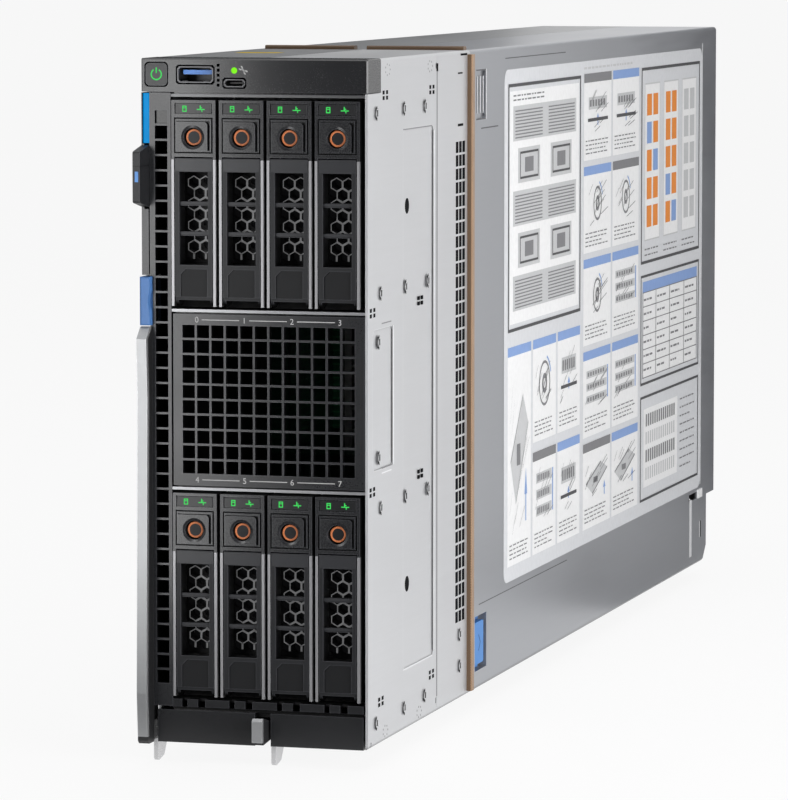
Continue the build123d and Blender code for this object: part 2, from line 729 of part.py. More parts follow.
def make_carrier(left, floor):
    right = left + carrier_width
    middle = left + carrier_width / 2
    with BuildPart() as carrier:
        block((left, right), (0, frame_depth), (floor + block_bottom, floor + carrier_height))
        lamp_x = (left + lamp_inset, right - lamp_inset)
        block(lamp_x, (-sheet, lamp_depth), (floor + lamp_z[0], floor + lamp_z[1]), mode=Mode.SUBTRACT)
        well_x = (left + cheek, right - cheek)
        well_z = (floor + plate_rise[0], floor + plate_rise[1])
        block(well_x, (0, plate_gap[1]), well_z, mode=Mode.SUBTRACT)
        block_plate_x = (well_x[0] + plate_gap[0], well_x[1] - plate_gap[0])
        block_plate_z = (well_z[0] + plate_gap[0], well_z[1] - plate_gap[0])
        block(block_plate_x, (-plate_raise, plate_gap[1]), block_plate_z)
        pad_x = (block_plate_x[0] + pad_inset[0], block_plate_x[1] - pad_inset[1])
        pad_z = (block_plate_z[0] + pad_inset[2], block_plate_z[1] - pad_inset[3])
        groove_x = (pad_x[0], pad_x[1] + pad_groove[0])
        groove_z = (pad_z[0], pad_z[1] + pad_groove[1])
        block(groove_x, (-plate_raise, pad_groove_depth), groove_z, mode=Mode.SUBTRACT)
        with BuildSketch(face.offset(plate_raise + pad_raise)) as pad:
            with Locations((mid(pad_x), mid(pad_z))):
                pad_panel = Rectangle(span(pad_x), span(pad_z))
            chamfer(pad_panel.vertices().group_by(Axis.Y)[-1].sort_by(Axis.X)[-1], pad_corner)
        extrude(pad.sketch, amount=-(plate_raise + pad_raise + pad_groove_depth))
        for cheek_x in ((left, left + cheek), (right - cheek, right)):
            block(cheek_x, (0, frame_depth), (floor + cheek_z[0], floor + block_bottom))
        for rail_z in ((floor, floor + rail), (floor + carrier_height - rail, floor + carrier_height)):
            block((left, right), (frame_depth, carrier_length), rail_z)
        block((left, right), (hinge_y + barrel + clear, frame_depth), (floor, floor + rail))
        block((left, right), screen_y, (floor + screen_z[0], floor + screen_z[1]))
        with BuildSketch(face.offset(-screen_y[0])) as screen:
            with Locations((middle, floor + (window_z[0] + window_z[1]) / 2)):
                with Locations(hex_places()):
                    RegularPolygon((hex_pitch - hex_wall) / 2, 6, major_radius=False, rotation=30)
        extrude(screen.sketch, amount=-span(screen_y), mode=Mode.SUBTRACT)
        bore_y = (-plate_raise - pad_raise, drive_button_depth + drive_button_travel + sheet)
        peg(middle, bore_y, floor + drive_button_z, drive_button_radius + button_gap, mode=Mode.SUBTRACT)
        rod((left, right), hinge_y, floor + hinge_z, stub_radius + pin_clear, mode=Mode.SUBTRACT)
    return carrier


def make_drive(left, floor):
    drive_x = left + (carrier_width - drive_size[0]) / 2
    drive_z = floor + (carrier_height - drive_size[2]) / 2
    with BuildPart() as drive:
        drive_y = (frame_depth + clear, frame_depth + clear + drive_size[1])
        block((drive_x, drive_x + drive_size[0]), drive_y, (drive_z, drive_z + drive_size[2]))
        chamfer(drive.edges().filter_by(Axis.X), 2 * sheet)
        plug_x = (drive_x + 2 * sheet, drive_x + drive_size[0] / 2)
        plug_z = (drive_z + drive_size[2] / 4, drive_z + drive_size[2] / 2)
        block(plug_x, (drive_y[1] - 3 * sheet, drive_y[1] + sheet), plug_z, mode=Mode.SUBTRACT)
    return drive


def make_handle(left, floor):
    handle_x = (left + cheek + handle_side, left + carrier_width - cheek - handle_side)
    middle = left + carrier_width / 2
    with BuildPart() as handle:
        block(handle_x, (0, handle_thickness), (floor + hinge_z, floor + handle_top_z))
        rod(handle_x, hinge_y, floor + hinge_z, barrel)
        foot_x = (handle_x[0] + handle_arm, handle_x[1] - handle_arm)
        foot_gap = (floor, floor + hinge_z - stub_radius)
        block(foot_x, (-sheet, hinge_y + barrel + sheet), foot_gap, mode=Mode.SUBTRACT)
        opening_x = (handle_x[0] + window_inset, handle_x[1] - window_inset)
        opening_z = (floor + window_z[0], floor + window_z[1])
        block(opening_x, (-sheet, handle_thickness + sheet), opening_z, mode=Mode.SUBTRACT)
        for z in bars_z:
            bar_z = (floor + z - bar_height / 2, floor + z + bar_height / 2)
            block(opening_x, (sheet, handle_thickness / 2), bar_z)
        with BuildSketch(face) as label:
            with Locations((middle, floor + mid(label_z))):
                label_panel = Rectangle(span(handle_x) - 2 * label_inset, span(label_z))
            chamfer(label_panel.vertices().group_by(Axis.Y)[-1].sort_by(Axis.X)[0], label_corner)
        extrude(label.sketch, amount=-label_depth, mode=Mode.SUBTRACT)
        rod((left, left + carrier_width), hinge_y, floor + hinge_z, stub_radius)
    return handle


def make_button(left, floor):
    with BuildPart() as button:
        button_y = (drive_button_sink, drive_button_depth)
        peg(left + carrier_width / 2, button_y, floor + drive_button_z, drive_button_radius)
        chamfer(button.faces().sort_by(Axis.Y)[0].edges(), button_edge)
    return button


number = 0
for bank_floor in (upper_shelf, bay_floor):
    for column in range(drive_columns):
        number += 1
        corner = (drive_left(column), bank_floor + clear)
        save(make_carrier(*corner), f"drive_carrier_{number}")
        save(make_drive(*corner), f"hard_drive_{number}")
        save(make_handle(*corner), f"drive_handle_{number}")
        save(make_button(*corner), f"drive_button_{number}")

# Backplane behind the drives, with a plug for each drive and air slots between the plugs
plane_thickness = 2.4
plug_size = (5.0, 16.0)
air_slot = (9.0, 34.0)

with BuildPart() as backplane:
    plane_y = (bay_depth, bay_depth + plane_thickness)
    block((bay_left, bay_right), plane_y, (bay_floor - sheet, top_shelf))
    plug_y = (frame_depth + clear + drive_size[1] + clear, bay_depth)
    for bank_floor in (upper_shelf, bay_floor):
        drive_z = bank_floor + clear + (carrier_height - drive_size[2]) / 2
        plug_z = drive_z + drive_size[2] * 3 / 8
        for column in range(drive_columns):
            plug_x = drive_left(column) + (carrier_width - drive_size[0]) / 2 + 2 * sheet
            plug_range = (plug_z - plug_size[1] / 2, plug_z + plug_size[1] / 2)
            block((plug_x, plug_x + plug_size[0]), plug_y, plug_range)
            slot_middle = drive_left(column) + carrier_width / 2
            air_x = (slot_middle - air_slot[0] / 2, slot_middle + air_slot[0] / 2)
            air_z = (plug_range[1] + 2 * sheet, plug_range[1] + 2 * sheet + air_slot[1])
            block(air_x, plane_y, air_z, mode=Mode.SUBTRACT)
    duct_z = (lower_shelf + 3 * sheet, upper_shelf - 4 * sheet)
    block((bay_left + lap, bay_right - lap), plane_y, duct_z, mode=Mode.SUBTRACT)
save(backplane, "backplane")

# Boards: the system board lies over the left wall and the expansion board stands on posts above it
board = 2.0
standoff = 4.0
board_gap = 37.25
board_margin = (8.5, 42.0, 6.0)
card_length = 58.0
card_back = 28.0
processor_lead = 39.0
processor_gap = 20.0
socket_size = (80.0, 62.0)
socket_height = 8.0
sink_size = (108.0, 78.0)
sink_base = 4.0
sink_height = 24.0
fin = 0.8
fin_count = 10
memory_slots = 6
memory_pitch = 7.6
memory_gap = 7.0
memory_size = (133.35, 31.25)
memory_thickness = 1.4
memory_socket_ends = 8.65
memory_socket_width = 6.0
memory_socket_height = 6.0
memory_seat = 3.0
post_radius = 4.5
post_sides = 6
post_inset = (10.0, 8.0)
board_y = (cover_start + board_margin[0], depth - board_margin[1])
board_z = (board_margin[2], height - board_margin[2])
card_y = (depth - card_back - card_length, depth - card_back)
system_x = -half + sheet + standoff
expansion_x = system_x + board + board_gap

# Processors stand in a row, as many as fit between the front of the board and the rear cards
memory_socket = memory_size[0] + memory_socket_ends
processor_pitch = memory_socket + processor_gap
processor_room = card_y[0] - board_y[0] - processor_lead
processor_count = int((processor_room + processor_gap) // processor_pitch)
processor_first = board_y[0] + processor_lead + memory_socket / 2
processor_y = [processor_first + index * processor_pitch for index in range(processor_count)]
processor_middle = height / 2
post_y = (board_y[0] + post_inset[0], mid(board_y), board_y[1] - post_inset[0])


# Places of the memory sockets as (y, z), six on each side of every processor
def memory_places():
    places = []
    for y in processor_y:
        for slot in range(memory_slots):
            offset_z = sink_size[1] / 2 + memory_gap + slot * memory_pitch
            places.append((y, processor_middle - offset_z))
            places.append((y, processor_middle + offset_z))
    return places


def make_board(left):
    with BuildPart() as circuit_board:
        block((left, left + board), board_y, board_z)
        with BuildSketch(side.offset(left + board)) as processor_sockets:
            with Locations([(y, processor_middle) for y in processor_y]):
                Rectangle(socket_size[0], socket_size[1])
        extrude(processor_sockets.sketch, amount=socket_height)
        with BuildSketch(side.offset(left + board)) as memory_sockets:
            with Locations(memory_places()):
                Rectangle(memory_socket, memory_socket_width)
        extrude(memory_sockets.sketch, amount=memory_socket_height)
        with BuildSketch(side.offset(left + board + memory_seat)) as grooves:
            with Locations(memory_places()):
                Rectangle(memory_size[0] + clear, memory_thickness + clear)
        extrude(grooves.sketch, amount=memory_socket_height, mode=Mode.SUBTRACT)
    return circuit_board


save(make_board(system_x), "system_board")
save(make_board(expansion_x), "expansion_board")

with BuildPart() as heat_sinks:
    for left in (system_x, expansion_x):
        base_x = left + board + socket_height
        for y in processor_y:
            sink_y = (y - sink_size[0] / 2, y + sink_size[0] / 2)
            sink_z = (processor_middle - sink_size[1] / 2, processor_middle + sink_size[1] / 2)
            block((base_x, base_x + sink_base), sink_y, sink_z)
            fin_step = (sink_size[1] - fin) / (fin_count - 1)
            with BuildSketch(side.offset(base_x + sink_base)) as fins:
                with Locations((y, processor_middle)):
                    with GridLocations(sink_size[0], fin_step, 1, fin_count):
                        Rectangle(sink_size[0], fin)
            extrude(fins.sketch, amount=sink_height - sink_base)
save(heat_sinks, "heat_sinks")

with BuildPart() as memory_modules:
    for left in (system_x, expansion_x):
        with BuildSketch(side.offset(left + board + memory_seat)) as modules:
            with Locations(memory_places()):
                Rectangle(memory_size[0], memory_thickness)
        extrude(modules.sketch, amount=memory_size[1])
save(memory_modules, "memory_modules")

with BuildPart() as board_posts:
    for y in post_y:
        for z in (board_z[0] + post_inset[1], board_z[1] - post_inset[1]):
            rod((-half + sheet, system_x), y, z, post_radius, sides=post_sides)
            rod((system_x + board, expansion_x), y, z, post_radius, sides=post_sides)
save(board_posts, "board_posts")

# Cards at the rear of both boards and the connectors that reach through the rear wall
card_thickness = 1.6
card_height = 70.0
stack_inset = 4.0
stack_length = 18.0
stack_y = (card_y[0] + stack_inset, card_y[0] + stack_inset + stack_length)
connector_back = depth - sheet / 2
cell_counts = (2, 4)
cell_size = (6.0, 6.0)
cell_pitch = (10.0, 9.5)
cell_depth = 8.0

with BuildPart() as mezzanine_cards:
    for left, x in zip((system_x, expansion_x), connector_x):
        for z in connector_z:
            card_z = (z - card_height / 2, z + card_height / 2)
            block((x - card_thickness / 2, x + card_thickness / 2), card_y, card_z)
            block((left + board, x - card_thickness / 2), stack_y, (z - card_height / 4, z + card_height / 4))
save(mezzanine_cards, "mezzanine_cards")

with BuildPart() as rear_connectors:
    for x in connector_x:
        for z in connector_z:
            connector_wide = (x - connector_size[0] / 2, x + connector_size[0] / 2)
            connector_tall = (z - connector_size[1] / 2, z + connector_size[1] / 2)
            block(connector_wide, (card_y[1], connector_back), connector_tall)
        power_wide = (x - power_size[0] / 2, x + power_size[0] / 2)
        power_tall = (power_z - power_size[1] / 2, power_z + power_size[1] / 2)
        block(power_wide, (board_y[1], lower_depth - sheet / 2), power_tall)
    with BuildSketch(face.offset(-(connector_back - cell_depth))) as cells:
        with Locations([(x, z) for x in connector_x for z in connector_z]):
            with GridLocations(cell_pitch[0], cell_pitch[1], cell_counts[0], cell_counts[1]):
                Rectangle(cell_size[0], cell_size[1])
    extrude(cells.sketch, amount=-cell_depth, mode=Mode.SUBTRACT)
save(rear_connectors, "rear_connectors")

# Access cover: right half of the shell behind the seal, with a pressed thumb grip and a latch pocket
grip_start = 8.5
grip_size = (14.8, 19.6)
grip_drop = 7.8
grip_depth = 1.0
grip_corner = 1.5
ridge = (1.0, 14.0)
ridge_pitch = 3.4
ridge_count = 3
pocket_start = 7.5
pocket_size = (17.8, 21.6)
pocket_rise = 7.2
pocket_depth = 4.0
key_slot = (17.0, 3.2)
key_slot_back = 37.0
grip_y = (cover_start + grip_start, cover_start + grip_start + grip_size[0])
grip_z = (height - grip_drop - grip_size[1], height - grip_drop)
pocket_y = (cover_start + pocket_start, cover_start + pocket_start + pocket_size[0])
pocket_z = (pocket_rise, pocket_rise + pocket_size[1])

with BuildPart() as access_cover:
    half_shell(1, (cover_start, depth))
    trim_rear()
    key_y = (depth - key_slot_back - key_slot[0], depth - key_slot_back)
    key_z = (step_height, step_height + key_slot[1])
    block((bay_right - sheet, half + sheet), key_y, key_z, mode=Mode.SUBTRACT)
    grip_wall_y = (grip_y[0] - sheet, grip_y[1] + sheet)
    grip_wall_z = (grip_z[0] - sheet, grip_z[1] + sheet)
    block((bay_right - grip_depth, bay_right), grip_wall_y, grip_wall_z)
    with BuildSketch(side.offset(half - grip_depth)) as thumb_grip:
        clipped((mid(grip_y), mid(grip_z)), grip_size, grip_corner)
        with Locations((mid(grip_y), mid(grip_z))):
            with GridLocations(ridge_pitch, ridge[1], ridge_count, 1):
                Rectangle(ridge[0], ridge[1], mode=Mode.SUBTRACT)
    extrude(thumb_grip.sketch, amount=2 * grip_depth, mode=Mode.SUBTRACT)
    cup_y = (pocket_y[0] - sheet, pocket_y[1] + sheet)
    cup_z = (pocket_z[0] - sheet, pocket_z[1] + sheet)
    block((half - pocket_depth - sheet, bay_right), cup_y, cup_z)
    block((half - pocket_depth, half + sheet), pocket_y, pocket_z, mode=Mode.SUBTRACT)
save(access_cover, "access_cover")

# Blue cover latch: a pad on a wider base that slides in the pocket
latch_travel = 3.5
latch_start = 0.8
latch_base = 1.2
latch_margin = 2.5
latch_sink = 0.15

with BuildPart() as cover_latch:
    latch_y = (pocket_y[0] + latch_start, pocket_y[1] - latch_travel - 2 * clear)
    base_x = half - pocket_depth + clear
    block((base_x, base_x + latch_base), latch_y, (pocket_z[0] + clear, pocket_z[1] - clear))
    pad_z = (pocket_z[0] + latch_margin, pocket_z[1] - latch_margin)
    block((base_x + latch_base, half - latch_sink), latch_y, pad_z)
    fillet(cover_latch.edges().filter_by(Axis.X).group_by(Axis.X)[-1], sheet)
save(cover_latch, "cover_latch")
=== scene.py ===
import bpy
import math
import numpy as np
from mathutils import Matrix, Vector


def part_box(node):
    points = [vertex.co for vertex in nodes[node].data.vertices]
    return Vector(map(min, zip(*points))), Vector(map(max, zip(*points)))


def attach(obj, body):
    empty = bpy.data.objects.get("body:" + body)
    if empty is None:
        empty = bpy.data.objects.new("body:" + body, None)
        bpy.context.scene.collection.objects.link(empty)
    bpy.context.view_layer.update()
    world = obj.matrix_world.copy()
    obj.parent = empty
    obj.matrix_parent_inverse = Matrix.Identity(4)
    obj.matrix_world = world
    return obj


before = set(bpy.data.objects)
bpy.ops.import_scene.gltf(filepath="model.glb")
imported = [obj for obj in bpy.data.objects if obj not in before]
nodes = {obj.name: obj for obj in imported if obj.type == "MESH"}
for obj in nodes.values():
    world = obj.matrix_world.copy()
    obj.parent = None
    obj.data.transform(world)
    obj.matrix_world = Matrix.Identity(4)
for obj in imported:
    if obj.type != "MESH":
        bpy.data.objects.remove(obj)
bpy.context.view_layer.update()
scene = bpy.context.scene
drives = range(1, 9)

# blade measures are in millimetres from the middle of the front, its face and the bottom plate
mm, perMetre = 0.001, 1000
zero = np.array([0.0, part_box("top_bezel")[0].y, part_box("bottom_bezel")[0].z])
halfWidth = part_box("top_bezel")[1].x * perMetre
tall = (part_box("chassis_tray")[1].z - zero[2]) * perMetre


# meshes

def boxOf(node):  # a node's box in blade millimetres
    low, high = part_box(node)
    return (np.array(low) - zero) * perMetre, (np.array(high) - zero) * perMetre


# a piece from points and faces in blade millimetres, with a finish from the table below
def addPiece(name, shape, finish, body="shell", smooth=False):
    points, faces = shape
    mesh = bpy.data.meshes.new(name)
    mesh.from_pydata((np.asarray(points, float) * mm + zero).tolist(), [], [list(map(int, f)) for f in faces])
    mesh.materials.append(finishes[finish])
    if smooth:
        mesh.polygons.foreach_set("use_smooth", np.ones(len(mesh.polygons), bool))
    mesh.update()
    piece = bpy.data.objects.new(name, mesh)
    scene.collection.objects.link(piece)
    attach(piece, body)
    return piece


# several shapes as one: points stacked, face numbers moved on by the points before them
def together(*shapes):
    points, faces, count = [], [], 0
    for somePoints, someFaces in shapes:
        points.append(np.asarray(somePoints, float).reshape(-1, 3))
        faces += [[v + count for v in f] for f in someFaces]
        count += len(points[-1])
    return np.concatenate(points), faces


# boxes between low and high corners: corner = low + unit corner * (high - low)
unitBox = np.array([[0, 0, 0], [1, 0, 0], [1, 1, 0], [0, 1, 0], [0, 0, 1], [1, 0, 1], [1, 1, 1], [0, 1, 1]], float)
unitFaces = np.array([[0, 3, 2, 1], [4, 5, 6, 7], [0, 1, 5, 4], [1, 2, 6, 5], [2, 3, 7, 6], [3, 0, 4, 7]])


def boxes(lows, highs):
    lows = np.asarray(lows, float).reshape(-1, 3)
    highs = np.asarray(highs, float).reshape(-1, 3)
    points = lows[:, None] + unitBox[None] * (highs - lows)[:, None]
    faces = unitFaces[None] + 8 * np.arange(len(lows))[:, None, None]
    return points.reshape(-1, 3), faces.reshape(-1, 4).tolist()


# boxes of one size about a list of middles: low and high = middle -+ half the size
def blocks(middles, size):
    middles = np.asarray(middles, float).reshape(-1, 3)
    half = np.asarray(size, float) / 2
    return boxes(middles - half, middles + half)


# every mix of the given x, y and z values, one row each
def spots(x, y, z):
    return np.stack(np.meshgrid(x, y, z, indexing="ij"), -1).reshape(-1, 3)


def evenly(middle, pitch, count):  # places a pitch apart about a middle
    return middle + pitch * (np.arange(count) - (count - 1) / 2)


axes = {  # two directions across and the one that stands out
    "front": np.array([[1, 0, 0], [0, 0, 1], [0, -1, 0]], float),
    "right": np.array([[0, 1, 0], [0, 0, 1], [1, 0, 0]], float),
    "up": np.array([[1, 0, 0], [0, 1, 0], [0, 0, 1]], float),
}


# turned forms: point = centre + r cos(t) across + r sin(t) up + h out, over angles t and a profile of (r, h)
def turned(profile, centres, facing, steps=24):
    profile = np.asarray(profile, float)
    centres = np.asarray(centres, float).reshape(-1, 3)
    angle = np.radians(np.linspace(0, 360, steps, endpoint=False))
    across, up, out = axes[facing]
    spoke = np.cos(angle)[:, None] * across + np.sin(angle)[:, None] * up
    grid = spoke[:, None, :] * profile[None, :, :1] + out * profile[None, :, 1:]
    points = centres[:, None, None] + grid[None]
    cols = len(profile)
    i, j = np.arange(steps)[:, None], np.arange(cols - 1)[None]
    n = (i + 1) % steps
    quad = np.stack([i * cols + j, n * cols + j, n * cols + j + 1, i * cols + j + 1], -1).reshape(-1, 4)
    faces = quad[None] + steps * cols * np.arange(len(centres))[:, None, None]
    return points.reshape(-1, 3), faces.reshape(-1, 4).tolist()


# low dome as a profile: height = rise * (1 - (r / radius) squared), from the rim to the middle
def dome(radius, rise, steps=7):
    r = np.linspace(radius, 0, steps)
    return np.stack([r, rise * (1 - (r / radius) ** 2)], 1)


# flat prints: outlines of (across, up) pairs laid on a plane that stands out by a given amount
def prints(outlines, facing, out):
    across, up, normal = axes[facing]
    points, faces, count = [], [], 0
    for outline in outlines:
        flat = np.asarray(outline, float)
        points.append(flat[:, :1] * across + flat[:, 1:] * up + normal * out)
        faces.append(list(range(count, count + len(flat))))
        count += len(flat)
    return np.concatenate(points), faces


def onFront(name, outlines, finish, out, body):  # prints facing forward, out in front of the blade's face
    addPiece(name, prints(outlines, "front", out), finish, body)


def onSide(name, outlines, finish, lift=0.02, body="shell"):  # prints just off the right side
    addPiece(name, prints(outlines, "right", halfWidth + lift), finish, body)


def panel(a, b, c, d):  # a rectangle's outline from its lower left and upper right corners
    return [(a, b), (c, b), (c, d), (a, d)]


def panels(rows):
    return [panel(*row) for row in rows]


def moved(outlines, across, up):
    return [[(across + p[0], up + p[1]) for p in outline] for outline in outlines]


def rim(a, b, c, d, line):  # the four strips of a rectangular line frame
    return [panel(a, b, c, b + line), panel(a, d - line, c, d),
            panel(a, b + line, a + line, d - line), panel(c - line, b + line, c, d - line)]


def ringPrint(a, b, outer, inner, steps=28, arc=(0.0, 360.0)):  # a flat ring as short strips
    t = np.radians(np.linspace(arc[0], arc[1], steps + 1))
    rays = np.stack([np.cos(t), np.sin(t)], 1)
    far, near = rays * outer + (a, b), rays * inner + (a, b)
    return [[near[i], far[i], far[i + 1], near[i + 1]] for i in range(steps)]


# raised panel: a rectangle at the back, the same one near the front and a smaller one as its face
def raised(a, b, c, d, front, back, inset):
    rows = [(panel(a, b, c, d), back), (panel(a, b, c, d), front + inset),
            (panel(a + inset, b + inset, c - inset, d - inset), front)]
    points = [(x, y, z) for outline, y in rows for x, z in outline]
    faces = [[4 * k + i, 4 * k + (i + 1) % 4, 4 * k + 4 + (i + 1) % 4, 4 * k + 4 + i]
             for k in range(2) for i in range(4)]
    return np.array(points), faces + [[8, 9, 10, 11]]


def roundPanel(a, b, c, d, r, steps=6):  # a rectangle with round corners
    t = np.radians(np.linspace(0, 90, steps + 1))
    corners = [(c - r, d - r, 0), (a + r, d - r, 90), (a + r, b + r, 180), (c - r, b + r, 270)]
    return [(x + r * math.cos(s + math.radians(q)), y + r * math.sin(s + math.radians(q)))
            for x, y, q in corners for s in t]


# finishes

def surface(name, **sockets):
    finish = bpy.data.materials.new(name)
    finish.use_nodes = True
    shader = finish.node_tree.nodes["Principled BSDF"]
    for key, value in sockets.items():
        shader.inputs[key.replace("_", " ")].default_value = value
    return finish, finish.node_tree, shader


# a shader node with its settings and its inputs, each a value or another node's output; gives its outputs
def addNode(tree, kind, inputs, **settings):
    added = tree.nodes.new("ShaderNode" + kind)
    for key, value in settings.items():
        setattr(added, key, value)
    for key, value in inputs.items():
        if isinstance(value, bpy.types.NodeSocket):
            tree.links.new(value, added.inputs[key])
        else:
            added.inputs[key].default_value = value
    return added.outputs


def feed(shader, **sources):
    for key, source in sources.items():
        shader.id_data.links.new(source, shader.inputs[key.replace("_", " ")])


def where(tree, stretch=(1, 1, 1), turn=(0, 0, 0)):
    place = addNode(tree, "TexCoord", {})["Object"]
    return addNode(tree, "Mapping", {"Vector": place, "Rotation": turn, "Scale": stretch})["Vector"]


def grain(tree, vector, scale, detail=3.0):
    return addNode(tree, "TexNoise", {"Vector": vector, "Scale": scale, "Detail": detail})["Fac"]


def times(colour, share):
    return tuple(min(c * share, 1) for c in colour)


def tint(tree, factor, low, high, start=0.3, end=0.7):  # from one colour to another as the factor rises
    ramp = tree.nodes.new("ShaderNodeValToRGB")
    for element, at, colour in zip(ramp.color_ramp.elements, (start, end), (low, high)):
        element.position = at
        element.color = (*colour, 1)
    tree.links.new(factor, ramp.inputs["Fac"])
    return ramp.outputs["Color"]


def clouded(tree, factor, colour, spread):  # one colour, from a little darker to a little lighter
    return tint(tree, factor, times(colour, 1 - spread), times(colour, 1 + spread))


def between(tree, factor, low, high, start=0.3, end=0.7):
    ends = {"From Min": start, "From Max": end, "To Min": low, "To Max": high}
    return addNode(tree, "MapRange", {"Value": factor, **ends})["Result"]


def reckon(tree, kind, a, b=0.0):
    return addNode(tree, "Math", {0: a, 1: b}, operation=kind)["Value"]


def blend(tree, a, b, share):  # a * share + b * the rest
    return reckon(tree, "ADD", reckon(tree, "MULTIPLY", a, share), reckon(tree, "MULTIPLY", b, 1 - share))


def mixed(tree, factor, first, second):  # colours, either given or from nodes
    first, second = ((*c, 1) if isinstance(c, tuple) else c for c in (first, second))
    return addNode(tree, "Mix", {0: factor, 6: first, 7: second}, data_type="RGBA")[2]


def roughen(tree, shader, height, strength, distance, over=None):
    inputs = {"Height": height, "Strength": strength, "Distance": distance}
    if over is not None:
        inputs["Normal"] = over
    normal = addNode(tree, "Bump", inputs)["Normal"]
    feed(shader, Normal=normal)
    return normal


def openAround(tree, reach, inside):  # the share of open directions within a reach, for the piece alone
    return addNode(tree, "AmbientOcclusion", {"Distance": reach}, inside=inside, only_local=True, samples=4)["AO"]


# worn edges with a painted highlight: 1 along convex edges and 0 on flats, from how close the solid's other faces are
# inside it
def wornAndHighlitEdges(tree, reach):
    return between(tree, openAround(tree, reach, True), 1.0, 0.0, 0.5, 0.92)


# corners with dust and painted shade: 0 in corners and grooves of the piece itself, 1 in the open
def clearOfDustAndShade(tree, reach):
    return between(tree, openAround(tree, reach, False), 0.0, 1.0, 0.3, 0.95)


def placeAlong(tree, axis):
    return addNode(tree, "SeparateXYZ", {"Vector": addNode(tree, "TexCoord", {})["Object"]})[axis]


# 0 in front of a depth behind the blade's face and 1 behind it
def behind(tree, depth, soft=0.12):
    start, end = (zero[1] + (depth + s) * mm for s in (-soft, soft))
    return between(tree, placeAlong(tree, "Y"), 0.0, 1.0, start, end)


# 1 between two blade measures along an axis and 0 outside them
def within(tree, axis, low, high):
    start = zero["XYZ".index(axis)]
    along = placeAlong(tree, axis)
    above = reckon(tree, "GREATER_THAN", along, start + low * mm)
    return reckon(tree, "MULTIPLY", above, reckon(tree, "LESS_THAN", along, start + high * mm))


# distance from the nearest of a grid of middles: along an axis they repeat every pitch, upwards there are two levels
def fromMiddles(tree, first, pitch, levels, axis="X"):
    turns = reckon(tree, "MULTIPLY", reckon(tree, "SUBTRACT", placeAlong(tree, axis), first - pitch / 2), 1 / pitch)
    across = reckon(tree, "MULTIPLY", reckon(tree, "SUBTRACT", reckon(tree, "FRACT", turns), 0.5), pitch)
    up = [reckon(tree, "ABSOLUTE", reckon(tree, "SUBTRACT", placeAlong(tree, "Z"), z)) for z in levels]
    up = reckon(tree, "MINIMUM", *up)
    square = reckon(tree, "ADD", reckon(tree, "MULTIPLY", across, across), reckon(tree, "MULTIPLY", up, up))
    return reckon(tree, "SQRT", square)


# rolled sheet: broad soft mottling, a fine grain drawn along the blade, edges worn and given a painted highlight,
# corners with dust and painted shade, and a little roughness play; where a depth is given, the sheet behind it has
# painted shade, where a fold is given, painted shade along the fold at the bottom, and where a level is given, all
# above it is darker;
# where welds are given, dished spots repeat along the blade at those levels
sheetLook = {"cloud": (9, 4, 9), "cloudScale": 1.6, "drawn": (700, 24, 700), "share": 0.62, "edge": 0.0005,
             "corner": 0.35, "darkerAbove": 0.4, "foldShade": 0.12, "play": (-0.05, 0.06), "bump": (0.04, 0.0002)}
weldLook = {"radius": (0.0014, 0.0026), "shade": 0.7, "bump": (0.9, 0.0004)}
farOut = 999  # beyond any piece


def rolledSheet(name, colour, metal, rough, spread=0.05, wearAndHighlight=1.25, paintedShade=None, inner=0.15, foldShade=None, darkerAbove=None,
                nook=0.0012, welds=None):
    finish, tree, shader = surface(name, Metallic=metal, IOR=1.5)
    cloud = grain(tree, where(tree, sheetLook["cloud"]), sheetLook["cloudScale"], 4)
    drawn = grain(tree, where(tree, sheetLook["drawn"]), 1.0, 2)
    both = blend(tree, cloud, drawn, sheetLook["share"])
    skin = clouded(tree, both, colour, spread)
    # edges worn and given a painted highlight, and corners with dust and painted shade
    skin = mixed(tree, wornAndHighlitEdges(tree, sheetLook["edge"]), skin, times(colour, wearAndHighlight))
    skin = mixed(tree, clearOfDustAndShade(tree, nook), times(colour, sheetLook["corner"]), skin)
    # painted shade behind the depth
    if paintedShade is not None:
        skin = mixed(tree, behind(tree, paintedShade), skin, times(colour, inner))
    # darker above the level
    if darkerAbove is not None:
        skin = mixed(tree, within(tree, "Z", darkerAbove, farOut), skin, times(colour, sheetLook["darkerAbove"]))
    # painted shade along the fold at the bottom
    if foldShade is not None:
        low, high = (zero[2] + h * mm for h in foldShade)
        above = between(tree, placeAlong(tree, "Z"), 0.0, 1.0, low, high)
        skin = mixed(tree, above, times(colour, sheetLook["foldShade"]), skin)
    smoothed = None
    if welds is not None:
        spot = between(tree, fromMiddles(tree, *welds, "Y"), 0.0, 1.0, *weldLook["radius"])
        skin = mixed(tree, spot, times(colour, weldLook["shade"]), skin)
        smoothed = roughen(tree, shader, spot, *weldLook["bump"])
    feed(shader, Base_Color=skin, Roughness=between(tree, both, *(rough + p for p in sheetLook["play"])))
    roughen(tree, shader, drawn, *sheetLook["bump"], smoothed)
    return finish


# moulded plastic: a spark-eroded grain, slight clouds of colour, edges worn and given a painted highlight, and
# corners with dust and painted shade; where a depth is given, the walls of its openings behind that depth have
# painted shade
plasticLook = {"grain": 2600, "cloud": 35, "share": 0.55, "edge": 0.0003, "nook": 0.0015, "corner": 0.12,
               "spread": 0.07, "wearAndHighlight": 3.5, "play": 0.06, "height": 0.00012}


# plastic skin: edges worn and given a painted highlight, corners with dust and painted shade
def plasticWearHighlightAndShade(tree, factor, colour, spread=plasticLook["spread"], wearAndHighlight=plasticLook["wearAndHighlight"]):
    skin = clouded(tree, factor, colour, spread)
    skin = mixed(tree, wornAndHighlitEdges(tree, plasticLook["edge"]), skin, times(colour, wearAndHighlight))
    return mixed(tree, clearOfDustAndShade(tree, plasticLook["nook"]), times(colour, plasticLook["corner"]), skin)


